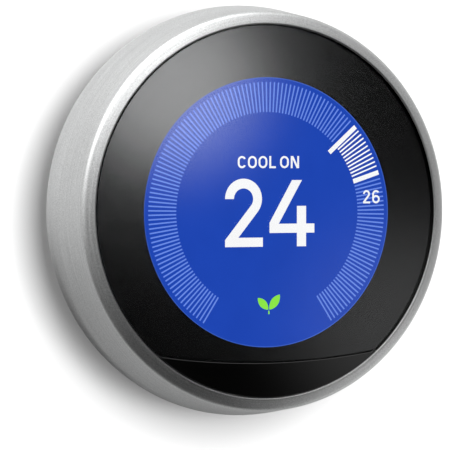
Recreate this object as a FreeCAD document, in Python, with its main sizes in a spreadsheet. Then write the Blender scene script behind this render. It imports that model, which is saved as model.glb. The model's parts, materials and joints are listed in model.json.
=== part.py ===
import FreeCAD, Part
import os
import re

import Sketcher

# Wall thermostat with a turning metal ring, in millimetres.
# +Z is up, the dial faces -Y, and the wall is the plane Y = 0.
# A "level" is a distance in front of the wall, so a point's Y is minus its level.

SIZES = [
    # overall and ring
    ("overall_depth", 30.8, "wall to front of glass"),
    ("ring_radius", 42.0, "largest radius of the ring"),
    ("ring_wall", 3.1, "ring behind the lip, radially"),
    ("ring_lip_depth", 2.6, "thickness of the lip at the glass"),
    ("shoulder_inset", 1.32, "largest radius to the corner between bevel and side"),
    ("shoulder_drop", 1.3, "how far that corner lies behind the glass"),
    ("bevel_width", 3.08, "that corner to the lip, radially"),
    ("ring_rear_band", 2.2, "straight stretch at the rear of the flared side"),
    ("shoulder_round", 2.2, "rounding between bevel and side"),
    ("ring_rear_round", 1.9, "rounding of the rear edge"),
    ("lip_round", 0.18, "rounding beside the glass"),
    # glass, sensor window and display
    ("glass_play", 0.15, "front glass in the ring's lip"),
    ("lens_thickness", 1.2, "front glass"),
    ("lens_round", 0.2, "edge of the front glass"),
    ("seam_radius", 159.5, "arc between glass and sensor window"),
    ("window_height", 7.0, "sensor window at its middle"),
    ("seam_gap", 0.15, "open seam between glass and sensor window"),
    ("mask_thickness", 0.15, "black mask behind the glass"),
    ("mask_inset", 0.55, "edge of the glass to the mask"),
    ("mask_border", 10.25, "edge of the glass to the mask's clear round"),
    ("display_drop", 0.35, "display centre below the ring's centre"),
    ("display_margin", 1.0, "display panel beyond the clear round"),
    ("display_thickness", 1.5, "display panel"),
    ("backlight_margin", 0.2, "backlight beyond the display panel"),
    ("backlight_thickness", 1.7, "backlight"),
    # head frame and bearing, from the ring inwards
    ("carrier_play", 0.05, "ring carrier in the metal ring"),
    ("carrier_wall", 2.23, "ring carrier, radially"),
    ("running_play", 0.07, "ring carrier on the bearing sleeve"),
    ("sleeve_thickness", 0.5, "bearing sleeve"),
    ("sleeve_flange", 1.05, "how far the bearing sleeve's flange stands out"),
    ("sleeve_play", 0.05, "bearing sleeve on the wall"),
    ("flange_play", 0.4, "seat of the glass inside the ring's lip"),
    ("flange_thickness", 1.55, "seat of the glass on the head frame"),
    ("flange_clear", 0.15, "ring carrier's front round the sleeve's flange"),
    ("pocket_play", 0.15, "backlight to its pocket"),
    ("pocket_wall", 1.2, "wall round the backlight"),
    ("head_floor", 1.2, "floor under the backlight"),
    ("head_wall", 1.2, "wall that the ring turns on"),
    ("head_rear_gap", 0.5, "rear edge of ring to rear edge of that wall"),
    ("catch_width", 0.25, "inner catch of that wall"),
    ("catch_height", 1.3, "inner catch of that wall"),
    ("end_play", 0.05, "ring carrier along its axis"),
    ("clip_edge", 0.7, "rear edge of that wall to the retaining ring"),
    ("clip_width", 0.55, "spring clip rings, along the axis"),
    ("clip_seat", 0.4, "depth of the clip rings' grooves"),
    ("clip_reach", 0.9, "how far the retaining ring stands out"),
    ("clip_gap", 6.0, "open gap of the clip rings"),
    ("encoder_thickness", 0.16, "patterned band in the carrier"),
    ("encoder_sink", 0.08, "face of the band inside its seat"),
    ("encoder_width", 2.8, "patterned band in the carrier"),
    ("encoder_inset", 0.4, "front edge of carrier bore to the band"),
    # chassis
    ("slide_play", 0.4, "chassis wall inside the head wall"),
    ("chassis_wall", 1.2, "chassis wall above the board"),
    ("chassis_top_gap", 5.4, "seat of the glass to the chassis wall's front edge"),
    ("ledge_width", 1.2, "ledge that carries the main board"),
    ("skirt_inset", 0.1, "skirt inside the head wall's outside"),
    ("skirt_wall", 1.4, "skirt that covers the base"),
    ("skirt_gap", 0.5, "base flange to the skirt's rear edge"),
    ("skirt_round", 0.8, "front corner of the chassis floor"),
    ("chassis_floor", 1.6, "chassis floor"),
    ("head_gap", 2.1, "chassis floor to the head wall's rear edge"),
    ("board_gap", 5.05, "main board's rear face to the head's floor"),
    ("board_thickness", 1.2, "main board"),
    ("board_play", 0.3, "main board in the chassis wall"),
    ("press_travel", 0.8, "how far the front presses in"),
    ("press_spare", 0.05, "gap left when it is pressed in"),
    ("switch_radius", 2.6, "click switch"),
    ("switch_height", 2.0, "click switch"),
    ("switch_down", 8.0, "click switch below the centre"),
    # fasteners
    ("screw_radius", 1.0, "screw shank"),
    ("screw_head_radius", 2.0, "screw head"),
    ("screw_head_height", 0.8, "screw head"),
    ("screw_length", 6.0, "screw under its head"),
    ("screw_play", 0.05, "screw in its boss"),
    ("screw_pass_play", 0.2, "screw through a board or cover"),
    ("boss_radius", 2.2, "screw boss"),
    ("cross_width", 0.5, "cross recess in a screw head"),
    ("cross_length", 2.2, "cross recess in a screw head"),
    ("cross_depth", 0.4, "cross recess in a screw head"),
    ("chassis_screw_inset", 4.0, "board ledge to the main board screws"),
    ("base_screw_inset", 3.9, "base rim to the base cover screws"),
    # base
    ("base_play", 0.3, "base rim inside the skirt"),
    ("base_wall", 1.4, "base rim"),
    ("base_floor", 1.8, "base floor"),
    ("rim_gap", 1.8, "base rim's front edge to the chassis floor"),
    ("base_flange_inset", 0.5, "skirt's outside to the flange against the wall"),
    ("base_flange", 1.2, "flange against the wall"),
    ("hole_gap", 2.5, "opening for the wires to the terminal blocks"),
    ("wire_hole_round", 0.6, "edge of that opening"),
    ("wall_screw_radius", 2.25, "holes for the wall screws"),
    ("wall_screw_inset", 4.3, "base rim to the wall screws"),
    ("wall_screw_pad", 4.4, "pad round a wall screw hole"),
    ("access_web", 1.8, "level's window to the clear round over a wall screw"),
    ("recess_hole_gap", 2.5, "wire opening to the recess in the back"),
    ("recess_screw_gap", 5.5, "wall screws to the recess in the back"),
    ("rear_recess_depth", 0.5, "shallow recess in the back of the base"),
    ("recess_rib", 1.2, "ribs across that recess"),
    ("standoff_radius", 3.2, "foot of a base boss, under the board"),
    ("base_board_play", 0.6, "base board inside the rim"),
    ("base_board_lift", 1.0, "base board above the base floor"),
    ("base_board_thickness", 1.2, "base board"),
    ("well_step", 1.4, "base board's hole round the wire opening"),
    ("cover_play", 0.3, "base cover inside the rim"),
    ("cover_lift", 2.6, "base cover above the base board"),
    ("cover_thickness", 1.2, "base cover"),
    ("window_play", 0.3, "cover window to what stands in it"),
    # terminals
    ("block_corner_gap", 1.67, "terminal block's outer corner to the rim"),
    ("block_width", 14.0, "terminal block"),
    ("block_length", 30.0, "terminal block"),
    ("block_height", 4.6, "terminal block on its board"),
    ("block_round", 1.0, "terminal block's corners"),
    ("terminal_pitch", 5.8, "between two terminals"),
    ("port_radius", 1.1, "wire port"),
    ("port_lift", 2.6, "wire ports above the base board"),
    ("tab_inset", 8.5, "block's inner face to the middle of a tab"),
    ("tab_width", 6.0, "push tab, across"),
    ("tab_height", 4.4, "push tab, up and down"),
    ("tab_proud", 1.0, "push tab in front of its block"),
    ("tab_round", 0.5, "push tab's front corners"),
    ("tab_play", 0.2, "push tab in its slot"),
    ("tab_clear", 0.6, "push tab to the chassis floor"),
    ("slot_floor", 0.6, "floor of a tab slot"),
    ("contact_thickness", 0.3, "contact plate in a slot"),
    ("contact_height", 3.2, "contact plate in a slot"),
    ("spring_rise", 1.1, "contact plate to a push tab's foot"),
    ("spring_strip", 0.25, "thickness of a terminal spring"),
    ("spring_width", 2.4, "width of a terminal spring"),
    # bubble level
    ("vial_radius", 2.4, "level vial"),
    ("vial_wall", 0.5, "level vial"),
    ("vial_length", 14.0, "level vial"),
    ("vial_play", 0.05, "vial in its holder, and liquid in the vial"),
    ("bubble_radius", 1.5, "bubble in the vial"),
    ("bubble_rise", 1.1, "bubble above the vial's axis"),
    ("holder_wall", 2.0, "ends of the level holder"),
    ("holder_floor", 0.35, "level holder under the vial"),
    ("holder_cover_gap", 0.2, "level holder to the base cover"),
    ("holder_height", 6.0, "level holder, up and down"),
    ("holder_gap", 1.0, "terminal blocks to the level holder"),
    # connector between base and chassis
    ("tongue_width", 16.0, "plug tongue"),
    ("tongue_height", 2.4, "plug tongue"),
    ("tongue_gap", 0.8, "tongue's end to the floor of the socket"),
    ("plug_width", 20.0, "plug inside the chassis"),
    ("plug_height", 4.4, "plug inside the chassis"),
    ("plug_depth", 3.0, "plug inside the chassis"),
    ("plug_play", 0.3, "tongue in the socket and the floor"),
    ("socket_wall", 1.2, "socket"),
    ("socket_depth", 4.8, "socket on its board"),
    ("socket_floor", 0.6, "socket"),
    ("socket_gap", 1.3, "terminal blocks to the socket"),
    ("pin_thickness", 0.1, "connector pins"),
    ("pin_width", 0.6, "connector pins"),
    ("pin_length", 3.0, "connector pins"),
    ("pin_pitch", 1.5, "connector pins"),
    # service port, battery, speaker and parts on the boards
    ("port_inset", 4.9, "board ledge to the middle of the service port"),
    ("port_width", 8.0, "service port"),
    ("port_height", 3.2, "service port"),
    ("port_wall", 0.4, "service port"),
    ("port_sink", 0.2, "service port behind the floor's face"),
    ("port_cavity", 5.0, "service port"),
    ("port_tongue_width", 5.0, "service port"),
    ("port_tongue", 0.6, "service port"),
    ("port_play", 0.1, "service port in the floor"),
    ("battery_width", 34.0, "battery"),
    ("battery_boss_gap", 1.6, "battery to the screw bosses"),
    ("battery_board_gap", 2.2, "battery to the main board"),
    ("battery_right", 3.0, "battery right of the centre"),
    ("battery_up", 3.0, "battery above the centre"),
    ("battery_round", 2.0, "battery corners"),
    ("speaker_radius", 6.0, "speaker"),
    ("speaker_depth", 3.0, "speaker"),
    ("speaker_gap", 1.5, "battery to the speaker"),
    ("speaker_hole", 1.0, "sound hole of the speaker"),
    ("processor_side", 16.0, "shield over the processor"),
    ("processor_left", 12.0, "shield over the processor, left of the centre"),
    ("radio_width", 14.0, "shield over the radio"),
    ("radio_height", 12.0, "shield over the radio"),
    ("radio_flex_gap", 11.0, "middle of the radio's shield to the display cable"),
    ("shield_up", 5.0, "both shields above the centre"),
    ("shield_depth", 2.0, "both shields"),
    ("shield_round", 0.5, "both shields"),
    ("chip_side", 7.0, "memory and power chips"),
    ("chip_depth", 1.0, "memory and power chips"),
    ("chip_screw_gap", 7.8, "middle of a chip to the board screws beside it"),
    ("chip_down", 16.0, "memory and power chips below the centre"),
    ("flex_inset", 5.9, "backlight's pocket to the display cable"),
    ("flex_thickness", 0.2, "display cable"),
    ("flex_width", 8.0, "display cable"),
    ("flex_bend", 1.2, "sideways step of the display cable"),
    ("flex_slot", 1.2, "slot for the display cable"),
    ("flex_margin", 0.5, "slot and connector beyond the display cable"),
    ("connector_width", 2.2, "display cable's connector"),
    # sensors behind the window
    ("sensor_inset", 5.35, "edge of the glass to the sensors"),
    ("sensor_lens_width", 12.0, "lens array"),
    ("sensor_lens_height", 3.0, "lens array"),
    ("sensor_lens_depth", 1.2, "lens array"),
    ("sensor_lens_play", 0.2, "lens array in the head frame"),
    ("lens_groove_pitch", 1.5, "ribs of the lens array"),
    ("lens_groove", 0.3, "ribs of the lens array"),
    ("sensor_board_width", 15.6, "sensor board"),
    ("sensor_board_drop", 4.85, "sensor board's rear face behind the window"),
    ("sensor_board_thickness", 0.8, "sensor board"),
    ("sensor_rib", 1.0, "ribs that hold the sensor board"),
    ("motion_width", 6.0, "motion sensor"),
    ("motion_height", 2.6, "motion sensor"),
    ("motion_depth", 2.2, "motion sensor"),
    ("light_side", 1.6, "ambient light sensor"),
    ("light_gap", 0.8, "motion sensor to the ambient light sensor"),
    ("light_depth", 1.0, "ambient light sensor"),
    ("rotation_inset", 2.2, "head wall to the middle of the rotation sensor"),
    ("rotation_width", 3.2, "rotation sensor"),
    ("rotation_height", 4.0, "rotation sensor"),
    ("rotation_depth", 3.5, "rotation sensor"),
    ("eye_height", 3.0, "openings in front of the rotation sensor"),
    ("eye_width", 2.0, "openings in front of the rotation sensor"),
    # return springs
    ("press_spring_inset", 1.5, "chassis wall to the middle of a return spring"),
    ("press_spring_span", 2.0, "return springs, across"),
    ("press_spring_strip", 0.3, "return springs, thickness"),
    ("press_spring_width", 2.4, "return springs, width"),
]

# Places that follow from the sizes. Each name stands for its own expression.
FOLLOWS = {
    # radii, from the ring inwards
    "shoulder_radius": "ring_radius - shoulder_inset",
    "lip_radius": "shoulder_radius - bevel_width",
    "ring_bore": "ring_radius - ring_wall",
    "lens_radius": "lip_radius - glass_play",
    "mask_radius": "lens_radius - mask_inset",
    "clear_radius": "lens_radius - mask_border",
    "display_radius": "clear_radius + display_margin",
    "backlight_radius": "display_radius + backlight_margin",
    "pocket_radius": "backlight_radius + display_drop + pocket_play",
    "pocket_outside": "pocket_radius + pocket_wall",
    "flange_radius": "lip_radius - flange_play",
    "carrier_outside": "ring_bore - carrier_play",
    "carrier_bore": "carrier_outside - carrier_wall",
    "encoder_outside": "carrier_bore + encoder_thickness + encoder_sink",
    "sleeve_outside": "carrier_bore - running_play",
    "sleeve_bore": "sleeve_outside - sleeve_thickness",
    "sleeve_flange_radius": "sleeve_outside + sleeve_flange",
    "carrier_front_radius": "sleeve_flange_radius + flange_clear",
    "head_wall_radius": "sleeve_bore - sleeve_play",
    "head_bore": "head_wall_radius - head_wall",
    "clip_root": "head_wall_radius - clip_seat",
    "chassis_radius": "head_bore - slide_play",
    "chassis_bore": "chassis_radius - chassis_wall",
    "ledge_radius": "chassis_bore - ledge_width",
    "stop_root": "chassis_radius - clip_seat",
    "stop_outside": "head_bore - running_play",
    "skirt_radius": "head_wall_radius - skirt_inset",
    "skirt_bore": "skirt_radius - skirt_wall",
    "base_flange_radius": "skirt_radius - base_flange_inset",
    "base_radius": "skirt_bore - base_play",
    "base_bore": "base_radius - base_wall",
    "base_board_radius": "base_bore - base_board_play",
    "cover_radius": "base_bore - cover_play",
    # levels, from the wall to the ring's rear edge
    "base_board_level": "base_floor + base_board_lift",
    "base_board_front": "base_board_level + base_board_thickness",
    "cover_level": "base_board_front + cover_lift",
    "cover_front": "cover_level + cover_thickness",
    "block_front": "base_board_front + block_height",
    "tab_front": "block_front + tab_proud",
    "floor_level": "tab_front + tab_clear",
    "floor_front": "floor_level + chassis_floor",
    "base_depth": "floor_level - rim_gap",
    "skirt_level": "base_flange + skirt_gap",
    "head_rear": "floor_front + head_gap",
    "ring_rear": "head_rear - head_rear_gap",
    # levels, from the front backwards
    "lip_level": "overall_depth - ring_lip_depth",
    "lens_rear": "overall_depth - lens_thickness",
    "mask_rear": "lens_rear - mask_thickness",
    "display_rear": "mask_rear - display_thickness",
    "backlight_rear": "display_rear - backlight_thickness",
    "head_floor_rear": "backlight_rear - head_floor",
    "flange_rear": "mask_rear - flange_thickness",
    "chassis_top": "flange_rear - chassis_top_gap",
    "board_level": "head_floor_rear - board_gap",
    "board_front": "board_level + board_thickness",
    "sensor_board_level": "mask_rear - sensor_board_drop",
    "sensor_board_front": "sensor_board_level + sensor_board_thickness",
    # bearing and clip rings
    "sleeve_front": "flange_rear",
    "carrier_front": "sleeve_front - sleeve_thickness - end_play",
    "encoder_front": "carrier_front - encoder_inset",
    "encoder_rear": "encoder_front - encoder_width",
    "catch_front": "head_rear + catch_height",
    "clip_rear": "head_rear + clip_edge",
    "clip_front": "clip_rear + clip_width",
    "carrier_rear": "clip_front + end_play",
    "stop_rear": "catch_front + end_play",
    "stop_front": "stop_rear + clip_width",
    # seam and sensors
    "seam_centre": "seam_radius + window_height - lens_radius",
    "sensor_down": "lens_radius - sensor_inset",
    "light_right": "(motion_width + light_side) / 2 + light_gap",
    "rotation_left": "head_bore - rotation_inset",
    # fasteners
    "screw_hole": "screw_radius + screw_play",
    "screw_pass": "screw_radius + screw_pass_play",
    "chassis_screw_place": "(ledge_radius - chassis_screw_inset) / sqrt(2)",
    "base_screw_place": "(base_bore - base_screw_inset) / sqrt(2)",
    "wall_screw_up": "base_bore - wall_screw_inset",
    "wall_screw_access": "wall_screw_up - vial_up - vial_radius - window_play - access_web",
    # terminals, between the wire opening and the rim
    "block_outer": "sqrt(base_bore ^ 2 - block_length ^ 2 / 4) - block_corner_gap",
    "block_inner": "block_outer - block_width",
    "wire_hole_radius": "block_inner - hole_gap",
    "well_radius": "wire_hole_radius + well_step",
    "recess_inner": "wire_hole_radius + recess_hole_gap",
    "recess_outer": "wall_screw_up - recess_screw_gap",
    "port_level": "base_board_front + port_lift",
    "tab_middle": "block_inner + tab_inset",
    "tab_slot_width": "tab_width + 2 * tab_play",
    "tab_slot_height": "tab_height + 2 * tab_play",
    "slot_level": "base_board_front + slot_floor",
    "contact_front": "slot_level + contact_thickness",
    "tab_foot": "contact_front + spring_rise",
    # level and connector
    "vial_level": "base_board_front + holder_floor + vial_play + vial_radius",
    "vial_up": "block_length / 2 + holder_gap + holder_height / 2",
    "cavity_width": "tongue_width + 2 * plug_play",
    "cavity_height": "tongue_height + 2 * plug_play",
    "cavity_level": "base_board_front + socket_floor",
    "socket_width": "cavity_width + 2 * socket_wall",
    "socket_height": "cavity_height + 2 * socket_wall",
    "socket_front": "base_board_front + socket_depth",
    "plug_down": "block_length / 2 + socket_gap + socket_height / 2",
    "tongue_level": "cavity_level + tongue_gap",
    # inside the chassis
    "port_down": "ledge_radius - port_inset",
    "battery_height": "2 * (chassis_screw_place - boss_radius - battery_boss_gap - battery_up)",
    "battery_thickness": "board_level - floor_front - battery_board_gap",
    "speaker_left": "battery_width / 2 - battery_right + speaker_gap + speaker_radius",
    "flex_right": "pocket_radius - flex_inset",
    "radio_right": "flex_right - radio_flex_gap",
    "chip_right": "chassis_screw_place - chip_screw_gap",
    "press_spring_radius": "chassis_bore - press_spring_inset",
    "spring_low": "press_spring_radius - press_spring_span / 2",
    "spring_high": "press_spring_radius + press_spring_span / 2",
}

GROOVE_COUNT = 7
PIN_COUNT = 10
TERMINAL_COUNT = 5
FIRST_TERMINAL = f"-{TERMINAL_COUNT - 1} / 2 * terminal_pitch"

doc = FreeCAD.newDocument("wall_thermostat")
sheet = doc.addObject("Spreadsheet::Sheet", "sizes")
for row, (alias, size, note) in enumerate(SIZES, start=1):
    sheet.set(f"A{row}", alias)
    sheet.set(f"B{row}", str(size))
    sheet.set(f"C{row}", note)
    sheet.setAlias(f"B{row}", alias)
doc.recompute()
ALIASES = {alias for alias, _, _ in SIZES}
NODES = []


def expand(text):
    """Turn a text of size names into an expression that reads the sheet."""

    def swap(match):
        word = match.group(0)
        if word in FOLLOWS:
            return f"({expand(FOLLOWS[word])})"
        if word in ALIASES:
            return f"sizes.{word}"
        if word == "sqrt":
            return word
        raise KeyError(word)

    return re.sub(r"[A-Za-z]\w*", swap, text)


def number(text):
    """The present value of such a text."""
    return float(sheet.evalExpression(expand(text)))


def bind(thing, path, text):
    """Bind a property, or a constraint, to the sheet."""
    thing.setExpression(path, expand(text))


def node(thing, label):
    """Give an object the label that names its node, and list it."""
    thing.Label = label
    NODES.append(thing)
    return thing


# ---- sketches -------------------------------------------------------------


def origin_part(body, role):
    return next(part for part in body.Origin.OriginFeatures if part.Role == role)


def new_sketch(body, role, offset="0"):
    """A sketch on one of the body's own planes, moved along its normal."""
    sketch = body.newObject("Sketcher::SketchObject", f"{body.Name}_sketch")
    sketch.AttachmentSupport = (origin_part(body, role), [""])
    sketch.MapMode = "FlatFace"
    bind(sketch, "AttachmentOffset.Base.z", offset)
    return sketch


def constrain(sketch, text, *where):
    """Add one dimension to a sketch and bind it to the sheet."""
    index = sketch.addConstraint(Sketcher.Constraint(*where, number(text)))
    bind(sketch, f"Constraints[{index}]", text)


def place_point(sketch, geometry, end, across, along):
    """Hold one point of a sketch at two distances from the origin."""
    constrain(sketch, across, "DistanceX", -1, 1, geometry, end)
    constrain(sketch, along, "DistanceY", -1, 1, geometry, end)


def draw_polygon(sketch, corners):
    points = [FreeCAD.Vector(number(a), number(b), 0) for a, b in corners]
    lines = []
    for start, end in zip(points, points[1:] + points[:1]):
        lines.append(sketch.addGeometry(Part.LineSegment(start, end), False))
    for line, following in zip(lines, lines[1:] + lines[:1]):
        sketch.addConstraint(Sketcher.Constraint("Coincident", line, 2, following, 1))
    for line, (across, along) in zip(lines, corners):
        place_point(sketch, line, 1, across, along)


def draw_circle(sketch, across, along, radius):
    centre = FreeCAD.Vector(number(across), number(along), 0)
    axis = FreeCAD.Vector(0, 0, 1)
    circle = sketch.addGeometry(Part.Circle(centre, axis, number(radius)), False)
    place_point(sketch, circle, 3, across, along)
    constrain(sketch, radius, "Radius", circle)


def box_corners(middle_x, middle_z, width, height):
    """The corners of a rectangle about a middle point."""
    left, right = (f"{middle_x} {sign} ({width}) / 2" for sign in "-+")
    low, high = (f"{middle_z} {sign} ({height}) / 2" for sign in "-+")
    return [(left, low), (right, low), (right, high), (left, high)]


def draw_loops(sketch, loops):
    """Draw closed loops: a circle has three texts, a polygon is a list of corners."""
    for loop in loops:
        if isinstance(loop, list):
            draw_polygon(sketch, loop)
        else:
            draw_circle(sketch, *loop)


# ---- features -------------------------------------------------------------


def new_body(label):
    return node(doc.addObject("PartDesign::Body", label), label)


def turn(body, corners):
    """Revolve a profile of (radius, level) corners about the ring's axis."""
    sketch = new_sketch(body, "XY_Plane")
    draw_polygon(sketch, [(radius, f"-({level})") for radius, level in corners])
    feature = body.newObject("PartDesign::Revolution", f"{body.Name}_turned")
    feature.Profile = sketch
    feature.ReferenceAxis = (origin_part(body, "Y_Axis"), [""])
    feature.Angle = 360
    doc.recompute()
    return feature


def raise_from(body, level, loops, depth):
    """Pad loops drawn at a level towards the front."""
    sketch = new_sketch(body, "XZ_Plane", level)
    draw_loops(sketch, loops)
    feature = body.newObject("PartDesign::Pad", f"{body.Name}_pad")
    feature.Profile = sketch
    bind(feature, "Length", depth)
    doc.recompute()
    return feature


def cut(body, role, offset, loops, depth, along_normal=False):
    """Pocket loops from a plane, and make sure that they remove something."""
    before = body.Shape.Volume
    sketch = new_sketch(body, role, offset)
    draw_loops(sketch, loops)
    feature = body.newObject("PartDesign::Pocket", f"{body.Name}_pocket")
    feature.Profile = sketch
    feature.Reversed = along_normal
    bind(feature, "Length", depth)
    doc.recompute()
    if body.Shape.Volume > before - 1e-6:
        raise RuntimeError(f"{feature.Name} in {body.Label} removes nothing")
    return feature


def sink(body, level, loops, depth):
    """Pocket loops from a level towards the wall."""
    return cut(body, "XZ_Plane", level, loops, depth)


def bore_sideways(body, from_x, loops, depth):
    """Pocket loops of (minus level, height) from a plane at X towards +X."""
    return cut(body, "YZ_Plane", from_x, loops, depth, along_normal=True)


def strip(body, corners, width):
    """Pad a profile of (X, level) corners both ways along Z."""
    sketch = new_sketch(body, "XY_Plane")
    draw_polygon(sketch, [(across, f"-({level})") for across, level in corners])
    feature = body.newObject("PartDesign::Pad", f"{body.Name}_strip")
    feature.Profile = sketch
    feature.Midplane = True
    bind(feature, "Length", width)
    doc.recompute()
    return feature


def round_edges(body, radius, chosen):
    """Fillet the edges that the function chosen() picks."""
    base = body.Tip
    names = [f"Edge{i}" for i, edge in enumerate(base.Shape.Edges, 1) if chosen(edge)]
    if not names:
        raise RuntimeError(f"no edge to round on {body.Label}")
    feature = body.newObject("PartDesign::Fillet", f"{body.Name}_fillet")
    feature.Base = (base, names)
    bind(feature, "Radius", radius)
    doc.recompute()
    return feature


def same(a, b):
    return abs(a - b) < 1e-5


def is_hoop(radius, level):
    """Pick the circular edge about the main axis with this radius and level."""

    def chosen(edge):
        curve = edge.Curve
        if not isinstance(curve, Part.Circle):
            return False
        on_axis = same(curve.Center.x, 0) and same(curve.Center.z, 0)
        at_level = same(curve.Center.y, -number(level))
        return on_axis and at_level and same(curve.Radius, number(radius))

    return chosen


def is_upright(edge):
    """Pick straight edges that run from the wall to the front."""
    if not isinstance(edge.Curve, Part.Line):
        return False
    return same(abs(edge.Curve.Direction.y), 1)


def is_at(level):
    """Pick the edges that lie flat at a level."""

    def chosen(edge):
        box = edge.BoundBox
        return same(box.YMin, -number(level)) and same(box.YMax, -number(level))

    return chosen


def around(body, features, count):
    """Repeat features evenly about the ring's axis."""
    pattern = body.newObject("PartDesign::PolarPattern", f"{body.Name}_around")
    pattern.Originals = features
    pattern.Axis = (origin_part(body, "Y_Axis"), [""])
    pattern.Angle = 360
    pattern.Occurrences = count
    body.Tip = pattern
    doc.recompute()
    return pattern


def along(body, features, axis, pitch, count):
    """Repeat features in a row."""
    pattern = body.newObject("PartDesign::LinearPattern", f"{body.Name}_along")
    pattern.Originals = features
    pattern.Direction = (origin_part(body, axis), [""])
    pattern.Mode = "Spacing"
    bind(pattern, "Offset", pitch)
    pattern.Occurrences = count
    body.Tip = pattern
    doc.recompute()
    return pattern


def block(label, middle_x, middle_z, width, height, level, depth):
    """A plain box about a middle point, standing on a level."""
    box = node(doc.addObject("Part::Box", label), label)
    bind(box, "Length", width)
    bind(box, "Width", depth)
    bind(box, "Height", height)
    bind(box, "Placement.Base.x", f"{middle_x} - ({width}) / 2")
    bind(box, "Placement.Base.y", f"-({level}) - ({depth})")
    bind(box, "Placement.Base.z", f"{middle_z} - ({height}) / 2")
    return box


# ---- ring -----------------------------------------------------------------


def make_outer_ring():
    """Solid metal ring: bevel, rounded shoulder, flared side, rounded rear edge."""
    body = new_body("outer_ring")
    turn(body, [
        ("lip_radius", "overall_depth"),
        ("shoulder_radius", "overall_depth - shoulder_drop"),
        ("ring_radius", "ring_rear + ring_rear_band"),
        ("ring_radius", "ring_rear"),
        ("ring_bore", "ring_rear"),
        ("ring_bore", "lip_level"),
        ("lip_radius", "lip_level"),
    ])
    shoulder = is_hoop("shoulder_radius", "overall_depth - shoulder_drop")
    round_edges(body, "shoulder_round", shoulder)
    round_edges(body, "ring_rear_round", is_hoop("ring_radius", "ring_rear"))
    round_edges(body, "lip_round", is_hoop("lip_radius", "overall_depth"))


def make_ring_carrier():
    """Moulded carrier inside the metal ring, with a seat for the encoder band."""
    body = new_body("ring_carrier")
    seat = "encoder_outside"
    turn(body, [
        ("carrier_bore", "carrier_rear"),
        ("carrier_outside", "carrier_rear"),
        ("carrier_outside", "lip_level"),
        ("carrier_front_radius", "lip_level"),
        ("carrier_front_radius", "carrier_front"),
        ("carrier_bore", "carrier_front"),
        ("carrier_bore", "encoder_front"),
        (seat, "encoder_front"),
        (seat, "encoder_rear"),
        ("carrier_bore", "encoder_rear"),
    ])


def make_encoder_band():
    """Patterned band that the rotation sensor looks at."""
    body = new_body("encoder_band")
    inside = "encoder_outside - encoder_thickness"
    turn(body, [
        (inside, "encoder_rear"),
        ("encoder_outside", "encoder_rear"),
        ("encoder_outside", "encoder_front"),
        (inside, "encoder_front"),
    ])


# ---- head: what presses in ------------------------------------------------


def make_head_frame():
    """Frame that carries the glass, the display and the ring's bearing."""
    body = new_body("head_frame")
    catch = "head_bore - catch_width"
    turn(body, [
        ("0", "head_floor_rear"),
        ("pocket_outside", "head_floor_rear"),
        ("pocket_outside", "flange_rear"),
        ("head_bore", "flange_rear"),
        ("head_bore", "catch_front"),
        (catch, "catch_front"),
        (catch, "head_rear"),
        ("head_wall_radius", "head_rear"),
        ("head_wall_radius", "clip_rear"),
        ("clip_root", "clip_rear"),
        ("clip_root", "clip_front"),
        ("head_wall_radius", "clip_front"),
        ("head_wall_radius", "flange_rear"),
        ("flange_radius", "flange_rear"),
        ("flange_radius", "mask_rear"),
        ("pocket_radius", "mask_rear"),
        ("pocket_radius", "backlight_rear"),
        ("0", "backlight_rear"),
    ])
    slot = box_corners("flex_right + flex_thickness / 2", "0", "flex_slot",
                       "flex_width + 2 * flex_margin")
    sink(body, "backlight_rear", [slot], "head_floor")
    opening = box_corners("0", "-sensor_down", "sensor_lens_width + 2 * sensor_lens_play",
                          "sensor_lens_height + 2 * sensor_lens_play")
    sink(body, "mask_rear", [opening], "flange_thickness")
    outer = "sensor_board_width / 2"
    for side in ("", "-"):
        rib = box_corners(f"{side}({outer} - sensor_rib / 2)", "-sensor_down", "sensor_rib",
                          "motion_height")
        raise_from(body, "sensor_board_front", [rib], "flange_rear - sensor_board_front")
    cut_eye(body)


def cut_eye(body):
    """Open a wall in front of the rotation sensor."""
    middle = "-(encoder_front - encoder_width / 2)"
    eye = box_corners(middle, "0", "eye_width", "eye_height")
    bore_sideways(body, "-sleeve_flange_radius", [eye],
                  "sleeve_flange_radius - head_bore + slide_play")


def make_bearing_sleeve():
    """Slippery sleeve with a flange, on which the ring carrier turns."""
    body = new_body("bearing_sleeve")
    turn(body, [
        ("sleeve_bore", "carrier_rear"),
        ("sleeve_outside", "carrier_rear"),
        ("sleeve_outside", "sleeve_front - sleeve_thickness"),
        ("sleeve_flange_radius", "sleeve_front - sleeve_thickness"),
        ("sleeve_flange_radius", "sleeve_front"),
        ("sleeve_bore", "sleeve_front"),
    ])
    cut_eye(body)


def make_clip_ring(label, inside, outside, rear):
    """Open ring of spring steel that snaps into a groove."""
    body = new_body(label)
    raise_from(body, rear, [("0", "0", outside), ("0", "0", inside)], "clip_width")
    gap = box_corners("0", f"-({outside})", "clip_gap", f"4 * ({outside} - ({inside}))")
    sink(body, f"{rear} + clip_width", [gap], "clip_width")


def keep_above_seam(body, level, depth, back_off):
    """Trim a disc along the arc of the seam and keep what lies above it."""
    radius = f"seam_radius - {back_off}"
    around_all = ("0", "seam_centre", "seam_radius + 2 * lens_radius")
    sink(body, level, [around_all, ("0", "seam_centre", radius)], depth)


def make_front_lens():
    """Glass disc without the part below the seam."""
    body = new_body("front_lens")
    raise_from(body, "lens_rear", [("0", "0", "lens_radius")], "lens_thickness")
    round_edges(body, "lens_round", is_hoop("lens_radius", "overall_depth"))
    keep_above_seam(body, "overall_depth", "lens_thickness", "seam_gap / 2")


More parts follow.
